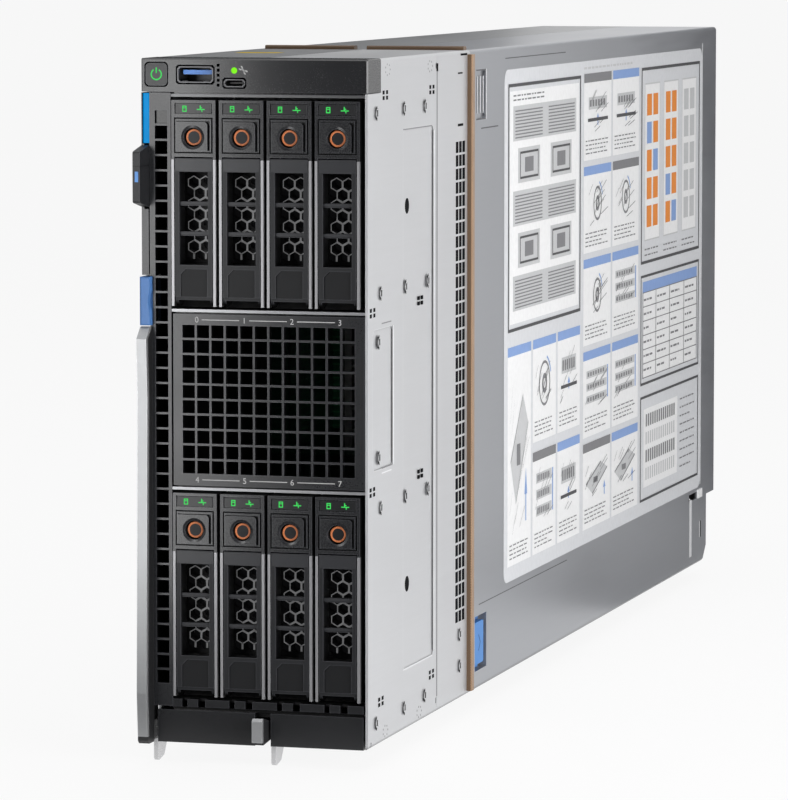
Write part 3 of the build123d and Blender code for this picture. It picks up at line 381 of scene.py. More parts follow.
def moulded(name, colour, rough, level=0.5, spread=plasticLook["spread"], bite=0.12, wearAndHighlight=plasticLook["wearAndHighlight"],
            paintedShade=None, inner=0.18):
    finish, tree, shader = surface(name, Specular_IOR_Level=level)
    fine = grain(tree, where(tree), plasticLook["grain"], 2)
    both = blend(tree, fine, grain(tree, where(tree), plasticLook["cloud"]), plasticLook["share"])
    skin = plasticWearHighlightAndShade(tree, both, colour, spread, wearAndHighlight)
    # painted shade on the walls of openings behind the depth
    if paintedShade is not None:
        skin = mixed(tree, behind(tree, paintedShade), skin, times(colour, inner))
    play = plasticLook["play"]
    feed(shader, Base_Color=skin, Roughness=between(tree, both, rough - play, rough + play))
    roughen(tree, shader, fine, bite, plasticLook["height"])
    return finish


# pull-out tag: charcoal with a seam line and, at its front, a small blue mark
tagLook = {"mark": (0.10, 0.28, 0.66), "markX": (-41.9, -40.6), "markZ": (205.5, 209.3), "markDeep": 0.8,
           "seamZ": (211.05, 211.4), "seam": 0.1, "wearAndHighlight": 3.0, "bite": 0.12}


def tagFinish(name, colour):
    finish, tree, shader = surface(name, Specular_IOR_Level=0.3, Roughness=0.46)
    fine = grain(tree, where(tree), plasticLook["grain"], 2)
    skin = clouded(tree, fine, colour, plasticLook["spread"])
    # edges worn and given a painted highlight
    skin = mixed(tree, wornAndHighlitEdges(tree, plasticLook["edge"]), skin, times(colour, tagLook["wearAndHighlight"]))
    skin = mixed(tree, within(tree, "Z", *tagLook["seamZ"]), skin, times(colour, tagLook["seam"]))
    end = boxOf("info_tag")[0][1] + tagLook["markDeep"]
    spot = reckon(tree, "MULTIPLY", within(tree, "X", *tagLook["markX"]), within(tree, "Z", *tagLook["markZ"]))
    spot = reckon(tree, "MULTIPLY", spot, within(tree, "Y", -farOut, end))
    feed(shader, Base_Color=mixed(tree, spot, skin, tagLook["mark"]))
    roughen(tree, shader, fine, tagLook["bite"], plasticLook["height"])
    return finish


# tongues of the ports: one colour in the larger port on the left, another in the one beyond an edge
def tongueFinish(name, left, right, edge):
    finish, tree, shader = surface(name, Specular_IOR_Level=0.35, Roughness=0.4)
    fine = grain(tree, where(tree), 900, 2)
    one, two = (clouded(tree, fine, c, 0.06) for c in (left, right))
    feed(shader, Base_Color=mixed(tree, within(tree, "X", edge, farOut), one, two))
    return finish


# drive sled: charcoal moulding in front, dished round its button, painted shade in its gaps and on the screen behind
# them, steel rails at the back
sledLook = {"gap": 0.75, "gapShade": 0.12, "screen": 12.4, "foot": (-0.1, 3.2), "footShade": 0.1, "metal": 0.6,
            "rough": (0.24, 0.32), "gapRough": 0.6, "dish": (0.0032, 0.0044), "dishBump": (1.0, 0.0005), "bite": 0.1}


def sledFinish(name, plastic, steel):
    finish, tree, shader = surface(name, Specular_IOR_Level=0.5)
    fine = grain(tree, where(tree), plasticLook["grain"], 2)
    skin = plasticWearHighlightAndShade(tree, fine, plastic)
    # painted shade on all behind a shallow depth, the screen included
    skin = mixed(tree, behind(tree, sledLook["gap"]), skin, times(plastic, sledLook["gapShade"]))
    # painted shade on the lower ends of the two banks
    for n in (1, 5):  # the lower ends of the two banks
        foot = [boxOf("drive_carrier_%d" % n)[0][2] + f for f in sledLook["foot"]]
        skin = mixed(tree, within(tree, "Z", *foot), skin, times(plastic, sledLook["footShade"]))
    bare = clouded(tree, grain(tree, where(tree, (300, 40, 300)), 1.0, 2), steel, 0.05)
    back = behind(tree, sledLook["screen"])
    feed(shader, Base_Color=mixed(tree, back, skin, bare), Metallic=reckon(tree, "MULTIPLY", back, sledLook["metal"]))
    deep = reckon(tree, "MULTIPLY", behind(tree, sledLook["gap"]), sledLook["gapRough"])
    feed(shader, Roughness=reckon(tree, "ADD", between(tree, fine, *sledLook["rough"]), deep))
    boxed = [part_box("drive_button_%d" % n) for n in (1, 2, 5)]
    first, second, under = ((low + high) / 2 for low, high in boxed)
    away = fromMiddles(tree, first.x, second.x - first.x, (first.z, under.z))
    dished = roughen(tree, shader, between(tree, away, 0.0, 1.0, *sledLook["dish"]), *sledLook["dishBump"])
    roughen(tree, shader, fine, sledLook["bite"], plasticLook["height"], dished)
    return finish


# drive in its sled: painted shade on its end in front of a depth, cast alloy behind it
def driveCase(name, paintedShade, alloy, depth):
    finish, tree, shader = surface(name, Roughness=0.42)
    cloud = grain(tree, where(tree, (60, 20, 60)), 1.0, 3)
    # painted shade on the end in front of the depth
    end, case = (clouded(tree, cloud, c, 0.06) for c in (paintedShade, alloy))
    back = behind(tree, depth)
    feed(shader, Base_Color=mixed(tree, back, end, case), Metallic=reckon(tree, "MULTIPLY", back, 0.7))
    roughen(tree, shader, cloud, 0.05, 0.0002)
    return finish


# lit lens: an even glow with faint clouds
def glowing(name, colour, strength):
    finish, tree, shader = surface(name, Roughness=0.5, Specular_IOR_Level=0.1, Emission_Strength=strength)
    shader.inputs["Base Color"].default_value = (*times(colour, 0.2), 1)
    feed(shader, Emission_Color=clouded(tree, grain(tree, where(tree), 160, 2), colour, 0.06))
    return finish


# printed ink or film: a faint fibre in the colour
def inked(name, colour, rough=0.55, level=0.3):
    finish, tree, shader = surface(name, Roughness=rough, Specular_IOR_Level=level)
    feed(shader, Base_Color=clouded(tree, grain(tree, where(tree), 420), colour, 0.03))
    return finish


# woven seal: two sets of threads crossing on the slant, each a sine of the slanted distance; painted shade on the
# roof and along its front edge
sealLook = {"wave": {"Scale": 620, "Distortion": 0.8, "Detail": 1}, "share": 0.7, "stops": (0.10, 0.52),
            "roof": 249.6, "roofShade": 0.75, "front": 138.85, "frontShade": 0.6, "bump": (0.4, 0.0002)}


def wovenSeal(name, colour, shade):
    finish, tree, shader = surface(name, Roughness=0.62, Specular_IOR_Level=0.3, Sheen_Weight=0.2)
    threads = []
    for turn in (0.0, math.pi / 2):
        inputs = {"Vector": where(tree, turn=(turn, 0, 0)), **sealLook["wave"]}
        threads.append(addNode(tree, "TexWave", inputs, bands_direction="DIAGONAL")["Fac"])
    weave = reckon(tree, "MULTIPLY", *threads)
    both = blend(tree, weave, grain(tree, where(tree), 60), sealLook["share"])
    skin = tint(tree, both, shade, colour, *sealLook["stops"])
    # painted shade on the roof and along the front edge
    skin = mixed(tree, within(tree, "Z", sealLook["roof"], farOut), skin, times(shade, sealLook["roofShade"]))
    skin = mixed(tree, within(tree, "Y", 0, sealLook["front"]), skin, times(shade, sealLook["frontShade"]))
    feed(shader, Base_Color=skin)
    roughen(tree, shader, weave, *sealLook["bump"])
    return finish


# circuit board: solder mask in small fields with lighter tracks between them
def circuitBoard(name, mask, track):
    finish, tree, shader = surface(name, Roughness=0.4, Specular_IOR_Level=0.45)
    colours = {"Color1": (*mask, 1), "Color2": (*times(mask, 0.8), 1), "Mortar": (*track, 1)}
    place = where(tree, turn=(0, math.pi / 2, math.pi / 2))
    cells = addNode(tree, "TexBrick", {"Vector": place, "Scale": 90, "Mortar Size": 0.03, **colours})
    feed(shader, Base_Color=cells["Color"])
    roughen(tree, shader, cells["Fac"], 0.2, 0.0001)
    return finish


charcoal = (0.0165, 0.017, 0.019)
weldRow = {"first": 0.172, "pitch": 0.056, "levels": (0.009, 0.241)}  # in metres
trayWelds = (zero[1] + weldRow["first"], weldRow["pitch"], [zero[2] + z for z in weldRow["levels"]])
finishes = {
    "zinc": rolledSheet("zincSheet", (0.55, 0.555, 0.57), 0.55, 0.38, foldShade=(0.1, 1.6)),
    "tray": rolledSheet("traySheet", (0.30, 0.305, 0.315), 0.6, 0.36, welds=trayWelds),
    # the cage: painted shade behind its front edges, and darker above a level
    "cage": rolledSheet("cageSheet", (0.27, 0.275, 0.285), 0.5, 0.36, paintedShade=1.2, inner=0.06, darkerAbove=230.0),
    "cover": rolledSheet("coverSheet", (0.36, 0.37, 0.395), 0.8, 0.34, foldShade=(0.1, 1.9), nook=0.0004),
    "bright": rolledSheet("brightSteel", (0.60, 0.60, 0.61), 0.85, 0.28, 0.04),
    "leaf": rolledSheet("leafSteel", (0.28, 0.28, 0.29), 0.5, 0.42, 0.03),
    "lever": rolledSheet("silverLever", (0.31, 0.315, 0.322), 0.46, 0.41, 0.03),
    "alloy": rolledSheet("bareAlloy", (0.62, 0.62, 0.62), 0.9, 0.35, 0.05),
    # painted shade on the drives' front ends
    "driveCase": driveCase("driveCase", (0.010, 0.010, 0.011), (0.42, 0.42, 0.43), 17.0),
    "charcoal": moulded("charcoalMoulding", times(charcoal, 0.9), 0.26),
    # the next three have painted shade on the walls of their openings
    "crate": moulded("crateMoulding", charcoal, 0.31, paintedShade=0.5, inner=0.12),
    "frontBlack": moulded("lowerMoulding", times(charcoal, 0.8), 0.31, paintedShade=0.6, inner=0.12),
    "handle": moulded("handleMoulding", charcoal, 0.45, level=0.22, paintedShade=1.25, inner=0.10),
    "button": moulded("buttonMoulding", times(charcoal, 0.8), 0.42, level=0.22),
    "powerKey": moulded("powerKey", charcoal, 0.34, level=0.34),
    "recess": moulded("recessMoulding", times(charcoal, 0.6), 0.55, level=0.2),
    # painted sheen on the handle's brow
    "brow": moulded("browSheen", times(charcoal, 1.7), 0.36, level=0.3),
    # painted highlight on the handle's bars
    "barHighlight": moulded("barHighlight", times(charcoal, 1.7), 0.45, level=0.25),
    "sled": sledFinish("sledFinish", charcoal, (0.62, 0.62, 0.63)),
    "lens": moulded("lampLens", times(charcoal, 0.7), 0.33, level=0.4, bite=0.02),
    "black": moulded("blackMoulding", (0.012, 0.012, 0.013), 0.45),
    "touchBlue": moulded("touchBlue", (0.07, 0.18, 0.43), 0.45, level=0.3, spread=0.05, wearAndHighlight=1.2),
    "latchBlue": moulded("latchBlue", (0.055, 0.225, 0.58), 0.45, level=0.3, spread=0.05, wearAndHighlight=1.2),
    "tongues": tongueFinish("portTongues", (0.09, 0.26, 0.72), (0.012, 0.012, 0.013), -13.0),
    "tag": tagFinish("tagMoulding", charcoal),
    "portSteel": rolledSheet("portSteel", (0.035, 0.035, 0.037), 0.6, 0.35, 0.04, wearAndHighlight=2.5),
    "portSpring": rolledSheet("portSpring", (0.04, 0.04, 0.042), 0.5, 0.45, 0.04),
    "glowCyan": glowing("statusGlow", (0.0, 0.24, 0.60), 0.92),
    "glowGreen": glowing("greenGlow", (0.05, 0.66, 0.11), 0.9),
    "glowLime": glowing("limeGlow", (0.20, 0.82, 0.01), 0.95),
    "orange": moulded("orangeRing", (0.58, 0.18, 0.065), 0.5, level=0.3, spread=0.05, wearAndHighlight=1.1),
    "seal": wovenSeal("wovenSeal", (0.44, 0.285, 0.175), (0.19, 0.115, 0.065)),
    "board": circuitBoard("boardMask", (0.006, 0.045, 0.020), (0.016, 0.09, 0.04)),
    "plane": circuitBoard("planeMask", (0.0012, 0.0075, 0.0036), (0.003, 0.014, 0.007)),
    "chip": moulded("chipResin", (0.018, 0.018, 0.02), 0.4),
    "gold": rolledSheet("goldPlate", (0.72, 0.50, 0.16), 1.0, 0.3, 0.04),
    "ivory": moulded("ivoryLatch", (0.62, 0.60, 0.54), 0.45, wearAndHighlight=1.1),
    "paper": inked("labelPaper", (0.70, 0.71, 0.735)),
    "white": inked("labelWhite", (0.90, 0.90, 0.905)),
    "inkPale": inked("labelPale", (0.58, 0.585, 0.595)),
    "inkGrey": inked("labelGrey", (0.20, 0.20, 0.21)),
    "inkBlue": inked("labelBlue", (0.24, 0.37, 0.68)),
    "inkOrange": inked("labelOrange", (0.82, 0.26, 0.03)),
    "inkDark": inked("labelDark", (0.055, 0.055, 0.06)),
    "signGrey": inked("signGrey", (0.45, 0.45, 0.45)),
    "signBlue": inked("signBlue", (0.02, 0.085, 0.26)),
    # grey ink, for the painted shade lines on the plate and for the punch marks
    "markGrey": inked("markGrey", (0.22, 0.22, 0.23)),
    "yellow": inked("yellowFilm", (0.74, 0.54, 0.01), 0.7, level=0.0),
    "lattice": rolledSheet("latticeSteel", (0.40, 0.402, 0.41), 0.1, 0.6, 0.04),
    "coverShade": inked("coverShade", (0.10, 0.10, 0.107)),
    "lineLight": inked("lineLight", (0.74, 0.745, 0.76)),
    # black ink, for painted shade in holes, slits and slots, and for the seam along the roof
    "hole": inked("darkHole", (0.004, 0.004, 0.005), 0.8, level=0.05),
}

dressing = {
    "tray": ["chassis_tray"],
    "zinc": ["cage_side_panel", "vent_side_panel"],
    "cage": ["drive_cage"],
    "cover": ["access_cover"],
    "charcoal": ["top_bezel"],
    "tag": ["info_tag"],
    "crate": ["left_trim", "centre_grille"],
    "frontBlack": ["bottom_bezel"],
    "black": ["release_handle", "mezzanine_cards", "rear_connectors"],
    "lever": ["handle_caps"],
    "bright": ["latch_shaft"],
    "portSteel": ["usb_ports"],
    "touchBlue": ["release_button"],
    "latchBlue": ["cover_latch"],
    "tongues": ["port_tongues"],
    "glowCyan": ["status_light"],
    "seal": ["emi_gasket"],
    "board": ["system_board", "expansion_board", "memory_modules"],
    "plane": ["backplane"],
    "alloy": ["heat_sinks", "board_posts"],
    "sled": ["drive_carrier_%d" % n for n in drives],
    "handle": ["drive_handle_%d" % n for n in drives],
    "powerKey": ["power_button"],
    "button": ["drive_button_%d" % n for n in drives],
    "driveCase": ["hard_drive_%d" % n for n in drives],
}
for key, names in dressing.items():
    for node in names:
        nodes[node].data.materials.clear()
        nodes[node].data.materials.append(finishes[key])
print("finishes: %d" % len(finishes))


# front

powerSign = {"outer": 2.15, "line": 0.48, "gap": 32, "bar": (0.45, 2.45), "lift": 0.04}
low, high = boxOf("power_button")
signX = low[0] + (high[2] - low[2]) / 2
signZ = (low[2] + high[2]) / 2
outer, line, gap = powerSign["outer"], powerSign["line"], powerSign["gap"]
sign = ringPrint(signX, signZ, outer, outer - line, 30, (90 + gap, 450 - gap))
sign.append(panel(signX - line / 2, signZ + powerSign["bar"][0], signX + line / 2, signZ + powerSign["bar"][1]))
onFront("powerSign", sign, "glowGreen", powerSign["lift"] - low[1], "power_button")

serviceLamp = {"at": [(-7.40, 0, 245.73)], "radius": 1.15, "rise": 0.35}
lampShape = turned(dome(serviceLamp["radius"], serviceLamp["rise"]), serviceLamp["at"], "front")
addPiece("serviceLamp", lampShape, "glowLime", "shell", True)

# spanner sign: a slanting bar with an open jaw at each end
spanner = {"at": (-3.95, 245.85), "length": 2.5, "bar": 0.5, "jaw": (0.82, 0.36), "open": 55, "turn": -40,
           "lift": 0.03}
turnBy = math.radians(spanner["turn"])
along, over = np.array([math.cos(turnBy), math.sin(turnBy)]), np.array([-math.sin(turnBy), math.cos(turnBy)])
ends = [np.array(spanner["at"]) + along * spanner["length"] / 2 * s for s in (-1, 1)]
near = [ends[0] + along * spanner["jaw"][1], ends[1] - along * spanner["jaw"][1]]
half = over * spanner["bar"] / 2
sign = [[near[0] - half, near[1] - half, near[1] + half, near[0] + half]]
for end, back in zip(ends, (spanner["turn"] + 180, spanner["turn"])):
    sign += ringPrint(*end, *spanner["jaw"], 14, (back + spanner["open"], back + 360 - spanner["open"]))
onFront("spannerSign", sign, "signGrey", spanner["lift"], "shell")

# numbers over and under the grille, with thin rules between them
numbering = {"first": -21.9, "pitch": 18.04, "rows": ((155.35, 0), (96.95, 4)), "size": 3.0, "rule": (1.9, 0.3),
             "lift": 0.03}


def numberShape(text, x, z, size, out):
    letter = bpy.data.curves.new("number", "FONT")
    letter.body = text
    letter.size = size
    holder = bpy.data.objects.new("number", letter)
    scene.collection.objects.link(holder)
    mesh = bpy.data.meshes.new_from_object(holder)
    flat = np.zeros(len(mesh.vertices) * 3)
    mesh.vertices.foreach_get("co", flat)
    flat = flat.reshape(-1, 3)
    faces = [list(p.vertices) for p in mesh.polygons]
    bpy.data.objects.remove(holder)
    across, up, normal = axes["front"]
    flat = flat - (flat.min(0) + flat.max(0)) / 2
    return (flat[:, :1] + x) * across + (flat[:, 1:2] + z) * up + normal * out, faces


shapes = []
reach, thick = numbering["rule"]
for z, start in numbering["rows"]:
    for i in range(4):
        x = numbering["first"] + numbering["pitch"] * i
        shapes.append(numberShape(str(start + i), x, z, numbering["size"], numbering["lift"]))
        if i < 3:
            rule = panel(x + reach, z - thick / 2, x + numbering["pitch"] - reach, z + thick / 2)
            shapes.append(prints([rule], "front", numbering["lift"]))
addPiece("bayNumbers", together(*shapes), "signGrey", "shell")

# contact springs in the larger port
spring = {"x": (-26.2, -18.2), "z": (241.75,), "size": (2.0, 1.2, 0.3), "depth": 1.3}
portFace = boxOf("usb_ports")[0][1]
springs = blocks(spots(spring["x"], [portFace + spring["depth"]], spring["z"]), spring["size"])
addPiece("portSprings", springs, "portSpring", "shell")

# screen behind each window: a lattice of six-sided cells, every other row moved by half a pitch, stubs below it
screen = {"rows": 7, "centreRow": 3.0, "x": 1.1, "z": 33.45, "pitch": 4.5, "line": 0.72, "stub": (1.9, 0.3),
          "y": 10.93}
root3 = 3 ** 0.5
corner, half = screen["pitch"] / root3, screen["line"] / 2
lattice = []
for row in range(screen["rows"]):
    z = screen["z"] + (row - screen["centreRow"]) * screen["pitch"] * root3 / 2
    for turn in (-0.5, 0.5) if row % 2 else (-1.0, 0.0):
        x = screen["x"] + screen["pitch"] * turn
        lattice += ringPrint(x, z, corner, corner - screen["line"] / root3, 6, (30, 390))
        if row == 0:
            lattice.append(panel(x - half, z - corner - screen["stub"][0], x + half, z - corner + screen["stub"][1]))

# drive fronts, measured from the sled's lower left corner: lens with two lit signs, ring on the button, leaf springs
# on the cheeks, and on the handle an inlay, a painted sheen on the brow over the window and painted highlights on its
# bars
lens = {"z": (70.65, 74.35), "inset": 1.5, "y": (0.10, 0.5), "bevel": 0.12}
driveSign = {"x": (5.0, 11.2), "z": 72.4, "lift": 0.03, "case": (-0.82, -1.1, 0.82, 1.1), "line": 0.36,
             "mark": (-0.46, 0.15, 0.46, 0.45), "pulse": [(-1.5, -0.4, 1.5, -0.05), (-0.4, -0.05, 0.0, 1.2),
                                                          (0.25, -1.1, 0.6, -0.4), (0.0, 0.2, 0.5, 0.55)]}
buttonRing = {"z": 62.1, "profile": [(2.98, -0.02), (2.95, 0.10), (2.84, 0.16), (2.36, 0.16), (2.25, 0.10),
                                     (2.21, -0.02)]}
leaf = {"z": (0.8, 54.0), "y": (-0.12, 1.5), "wide": 0.92, "proud": 0.02}
inlay = {"z": (4.3, 14.2), "inset": 2.1, "clip": 2.0, "y": 0.46}
brow = {"z": (49.8, 54.2), "inset": 1.3, "lift": 0.02}
barHighlight = {"z": (27.1, 38.0), "inset": 1.6, "edge": (-0.25, 0.62), "y": 0.97}


def span(trim):  # a trim's rectangle between its insets and its heights
    return left + trim["inset"], floor + trim["z"][0], right - trim["inset"], floor + trim["z"][1]


for n in drives:
    low, high = boxOf("drive_carrier_%d" % n)
    left, right, floor = low[0], high[0], low[2]
    body, handleBody = "drive_%d" % n, "drive_%d_handle" % n
    lensShape = raised(*span(lens), *lens["y"], lens["bevel"])
    addPiece("lampLens_%d" % n, lensShape, "lens", body)
    case = rim(*driveSign["case"], driveSign["line"]) + [panel(*driveSign["mark"])]
    sign = moved(case, left + driveSign["x"][0], floor + driveSign["z"])
    sign += moved(panels(driveSign["pulse"]), left + driveSign["x"][1], floor + driveSign["z"])
    onFront("lampSigns_%d" % n, sign, "glowGreen", driveSign["lift"] - lens["y"][0], body)
    middle = (left + right) / 2
    centre = [(middle, boxOf("drive_button_%d" % n)[0][1], floor + buttonRing["z"])]
    addPiece("buttonRing_%d" % n, turned(buttonRing["profile"], centre, "front", 32), "orange",
             body + "_button", True)
    (y0, y1), (b, d) = leaf["y"], (floor + z for z in leaf["z"])
    leaves = boxes([(left - leaf["proud"], y0, b), (right - leaf["wide"], y0, b)],
                   [(left + leaf["wide"], y1, d), (right + leaf["proud"], y1, d)])
    addPiece("cheekLeaf_%d" % n, leaves, "leaf", body)
    onFront("screenLattice_%d" % n, moved(lattice, middle, floor), "lattice", -screen["y"], body)
    left, right = (side[0] for side in boxOf("drive_handle_%d" % n))
    a, b, c, d = span(inlay)
    clipped = [(a, b), (c, b), (c, d), (a + inlay["clip"], d), (a, d - inlay["clip"])]
    onFront("handleInlay_%d" % n, [clipped], "recess", -inlay["y"], handleBody)
    # painted sheen on the brow
    onFront("handleBrowSheen_%d" % n, [panel(*span(brow))], "brow", brow["lift"], handleBody)
    # painted highlights on the bars
    a, c, (under, above) = left + barHighlight["inset"], right - barHighlight["inset"], barHighlight["edge"]
    edges = [panel(a, floor + z + under, c, floor + z + above) for z in barHighlight["z"]]
    onFront("barHighlights_%d" % n, edges, "barHighlight", -barHighlight["y"], handleBody)
print("front: signs, numbers and drive details")


# right side

# lances: low domes pressed out of the plate, cut open along one side, with painted shade in the cut and a painted
# highlight, a small bright dome, beside it
lance = {"radius": 2.6, "rise": 0.45, "sunk": 0.02, "slit": (2.75, 1.75), "arc": (98, 262),
         "bar": (-0.3, -1.1, 0.8, 1.2), "slitLift": 0.47, "stub": (0.55, 0.25), "glintAt": (0.22, 1.75, 1.4),
         "middle": 125,
         "places": [(11, 230.4), (48, 230.9), (76.9, 230.8), (16.2, 165.1), (49.9, 165.2), (81, 165.3), (13.6, 147.5),
                    (13.7, 105.4), (16.35, 86.9), (49.9, 87.5), (81.3, 86.9), (10.3, 8.6), (48, 8.6), (76.6, 9.1),
                    (127.5, 25.3), (127.5, 13.1)]}
centres = [(halfWidth - lance["sunk"], y, z) for y, z in lance["places"]]
addPiece("sideLances", turned(dome(lance["radius"], lance["rise"]), centres, "right", 20), "zinc", smooth=True)
# painted shade in the cut
cut = ringPrint(0, 0, *lance["slit"], 12, lance["arc"]) + [panel(*lance["bar"])]
slits = [outline for y, z in lance["places"] for outline in moved(cut, y, z)]
onSide("lanceSlitShade", slits, "hole", lance["slitLift"])
# painted highlights beside the cuts, above them on the upper rows and below them on the lower ones
out, after, aside = lance["glintAt"]
glints = [(halfWidth + out, y + after, z + (aside if z > lance["middle"] else -aside)) for y, z in lance["places"]]
addPiece("lanceGlints", turned(dome(*lance["stub"], 4), glints, "right", 10), "bright", smooth=True)

# punch marks: rings of small dimples
punch = {"places": [(26.2, 245.7), (84.5, 245.4), (22.9, 3.85), (69.3, 3.9)], "radius": (3.2, 2.0), "count": 7,
         "dot": [(0.42, 0.0), (0.336, 0.06), (0.126, 0.08), (0.0, 0.08)]}
angle = np.linspace(0, 2 * math.pi, punch["count"], endpoint=False)
centres = [(halfWidth, y + punch["radius"][0] * math.cos(a), z + punch["radius"][1] * math.sin(a))
           for y, z in punch["places"] for a in angle]
addPiece("punchMarks", turned(punch["dot"], centres, "right", 8), "markGrey", smooth=True)

# painted shade: dark ends inside the vents and the staked holes, all between the same two depths in the plate
shadeSheet = {"x": (-0.9, -0.03)}
shadeSheetX, shadeSheetThick = halfWidth + sum(shadeSheet["x"]) / 2, shadeSheet["x"][1] - shadeSheet["x"][0]
vents = {"y": (128.45, 4.87, 3), "z": (122.9, 5.17, 36), "size": (4.0, 4.35)}  # middle, pitch and count
ventAt = spots([shadeSheetX], evenly(*vents["y"]), evenly(*vents["z"]))
addPiece("ventShade", blocks(ventAt, (shadeSheetThick, *vents["size"])), "hole", "shell")
stake = {"places": [(16.8, 16.1), (86.8, 16.1), (5.6, 94.1), (71.2, 94.1), (6.0, 159.1), (71.1, 159.1),
                    (22.9, 237.1), (86.9, 237.1)],
         "drop": 0.5, "apart": (2.3, 1.0), "size": (1.7, 1.3), "mark": (-1.35, -0.725, 1.35, 0.725)}
# painted shade in the staked holes and round them
across, up = stake["apart"]
holes = np.array([(shadeSheetX, y + s * across, z - stake["drop"] + t * up)
                  for y, z in stake["places"] for s in (-1, 1) for t in (-1, 1)])
marks = [outline for _, y, z in holes for outline in moved([panel(*stake["mark"])], y, z)]
onSide("stakeMarkShade", marks, "hole")
addPiece("stakeEndShade", blocks(holes, (shadeSheetThick, *stake["size"])), "hole")

# painted shade: dark discs in the two round holes
roundHole = {"y": 53.5, "z": (54.3, 194.8), "radius": 2.96, "sunk": 0.37}
shadeDiscs = [(halfWidth - roundHole["sunk"], roundHole["y"], z) for z in roundHole["z"]]
addPiece("roundHoleShade", turned([(roundHole["radius"], 0), (0, 0)], shadeDiscs, "right"), "hole")

# a dark line along the seam, and lines of painted shade and painted highlight round the pressed fields, each field
# given by its two depths and two heights
plateLine = {"wide": 1.2, "fine": 0.45, "gap": 0.1, "over": 1.6, "under": 2.0, "short": 2, "foot": (1, 0.2),
             "field": (47.0, 89.5, 24.6, 221.3), "bracket": (18.0, 33.0, 101.1, 152.1),
             "seam": (-0.3, 6.0, 1.2, 243.5)}
seamY = boxOf("cage_side_panel")[1][1]
wide, fine, gap, short = (plateLine[key] for key in ("wide", "fine", "gap", "short"))
shadeLines, lightLines = moved([panel(*plateLine["seam"])], seamY, 0), []
for a, b, c, d in (plateLine["field"], plateLine["bracket"]):
    over, under = d + plateLine["over"], c - plateLine["under"]
    shadeLines += [panel(b - wide, c, b, d), panel(a, over, b - short, over + fine)]
    lightLines += [panel(b + gap, c, b + gap + wide, d), panel(a, under, b - short, under + fine)]
a, b, c, d = plateLine["bracket"]
back, half = plateLine["foot"]
shadeLines.append(panel(a, c - half, b - back, c + half))
onSide("plateShade", shadeLines, "markGrey")
onSide("plateLight", lightLines, "lineLight")

# painted shade in short slits beside the seal and in a notch at the seam's top, and the seam along the roof
sealSlit = {"slits": [(124.5, 241.3, 131.5, 241.9), (124.5, 221.3, 132.5, 222.3), (128.5, 248.2, 138.3, 249.0)],
            "notch": (-0.6, 243.2, 2.0, 246.2), "lift": 0.03}
slits = panels(sealSlit["slits"]) + moved([panel(*sealSlit["notch"])], seamY, 0)
onSide("sealSlitShade", slits, "hole", sealSlit["lift"])
roofSeam = {"outline": (-0.12, 17.5, 0.12, 138.0), "lift": 0.02}
addPiece("roofSeam", prints([panel(*roofSeam["outline"])], "up", tall + roofSeam["lift"]), "hole")
print("side plate: lances, marks, vents and slits")


# service label: a plain guide of boxed steps, bars and blocks, drawn from a fixed seed; its measures are from its
# lower left corner
label = {"y": (195.5, 563.0), "z": (36.0, 240.8), "corner": 5.0, "lift": 0.06, "ink": 0.025, "seed": 11}
dash = {"ragged": 0.35, "least": 1.5, "length": (2.2, 5.0), "gap": 1.6}
stroke = {"reach": (0.12, 0.2), "rise": (0.10, 0.14), "thick": 0.32}
chance = np.random.default_rng(label["seed"])
order = ("white", "inkPale", "inkBlue", "inkOrange", "inkGrey", "inkDark")
inks = {kind: [] for kind in order}


def ink(kind, *outlines):
    inks[kind] += moved(outlines, label["y"][0], label["z"][0])


# rows of short dashes: lengths drawn by chance, set one after another until the row is full
def dashes(a, b, c, d, count, thick, kind="inkGrey", fill=0.9):
    for i in range(count):
        v = d - (i + 0.5) * (d - b) / count
        u, end = a, a + (c - a) * fill * (1 - dash["ragged"] * chance.random() * (i % 3 == 2))
        while u < end - dash["least"]:
            reach = min(dash["length"][0] + dash["length"][1] * chance.random(), end - u)
            ink(kind, panel(u, v - thick / 2, u + reach, v + thick / 2))
            u += reach + dash["gap"]


def bars(a, b, c, d, count, share, kind):  # upright bars side by side
    step = (c - a) / count
    for i in range(count):
        ink(kind, panel(a + i * step, b, a + i * step + step * share, d))


def stack(a, b, c, d, count, share, kind):  # level bars one above another
    step = (d - b) / count
    for i in range(count):
        ink(kind, panel(a, b + i * step, c, b + i * step + step * share))


def slope(a, b, c, d, thick, kind):  # a slanting bar from one corner to the other
    ink(kind, [(a, b - thick / 2), (c, d - thick / 2), (c, d + thick / 2), (a, b + thick / 2)])


def strokes(a, b, c, d, count):  # fine slanting lines at drawn places, all leaning the same way
    for u, v in chance.random((count, 2)):
        reach = (c - a) * (stroke["reach"][0] + stroke["reach"][1] * u)
        rise = (d - b) * (stroke["rise"][0] + stroke["rise"][1] * v)
        u, v = a + (c - a - reach) * u, b + (d - b - rise) * v
        slope(u, v, u + reach, v + rise, stroke["thick"], "inkGrey")


def arrow(u, v, wide, high, kind):  # a block arrow pointing up
    ink(kind, [(u - wide / 2, v), (u + wide / 2, v), (u, v + high)], panel(u - wide / 6, v - high, u + wide / 6, v))


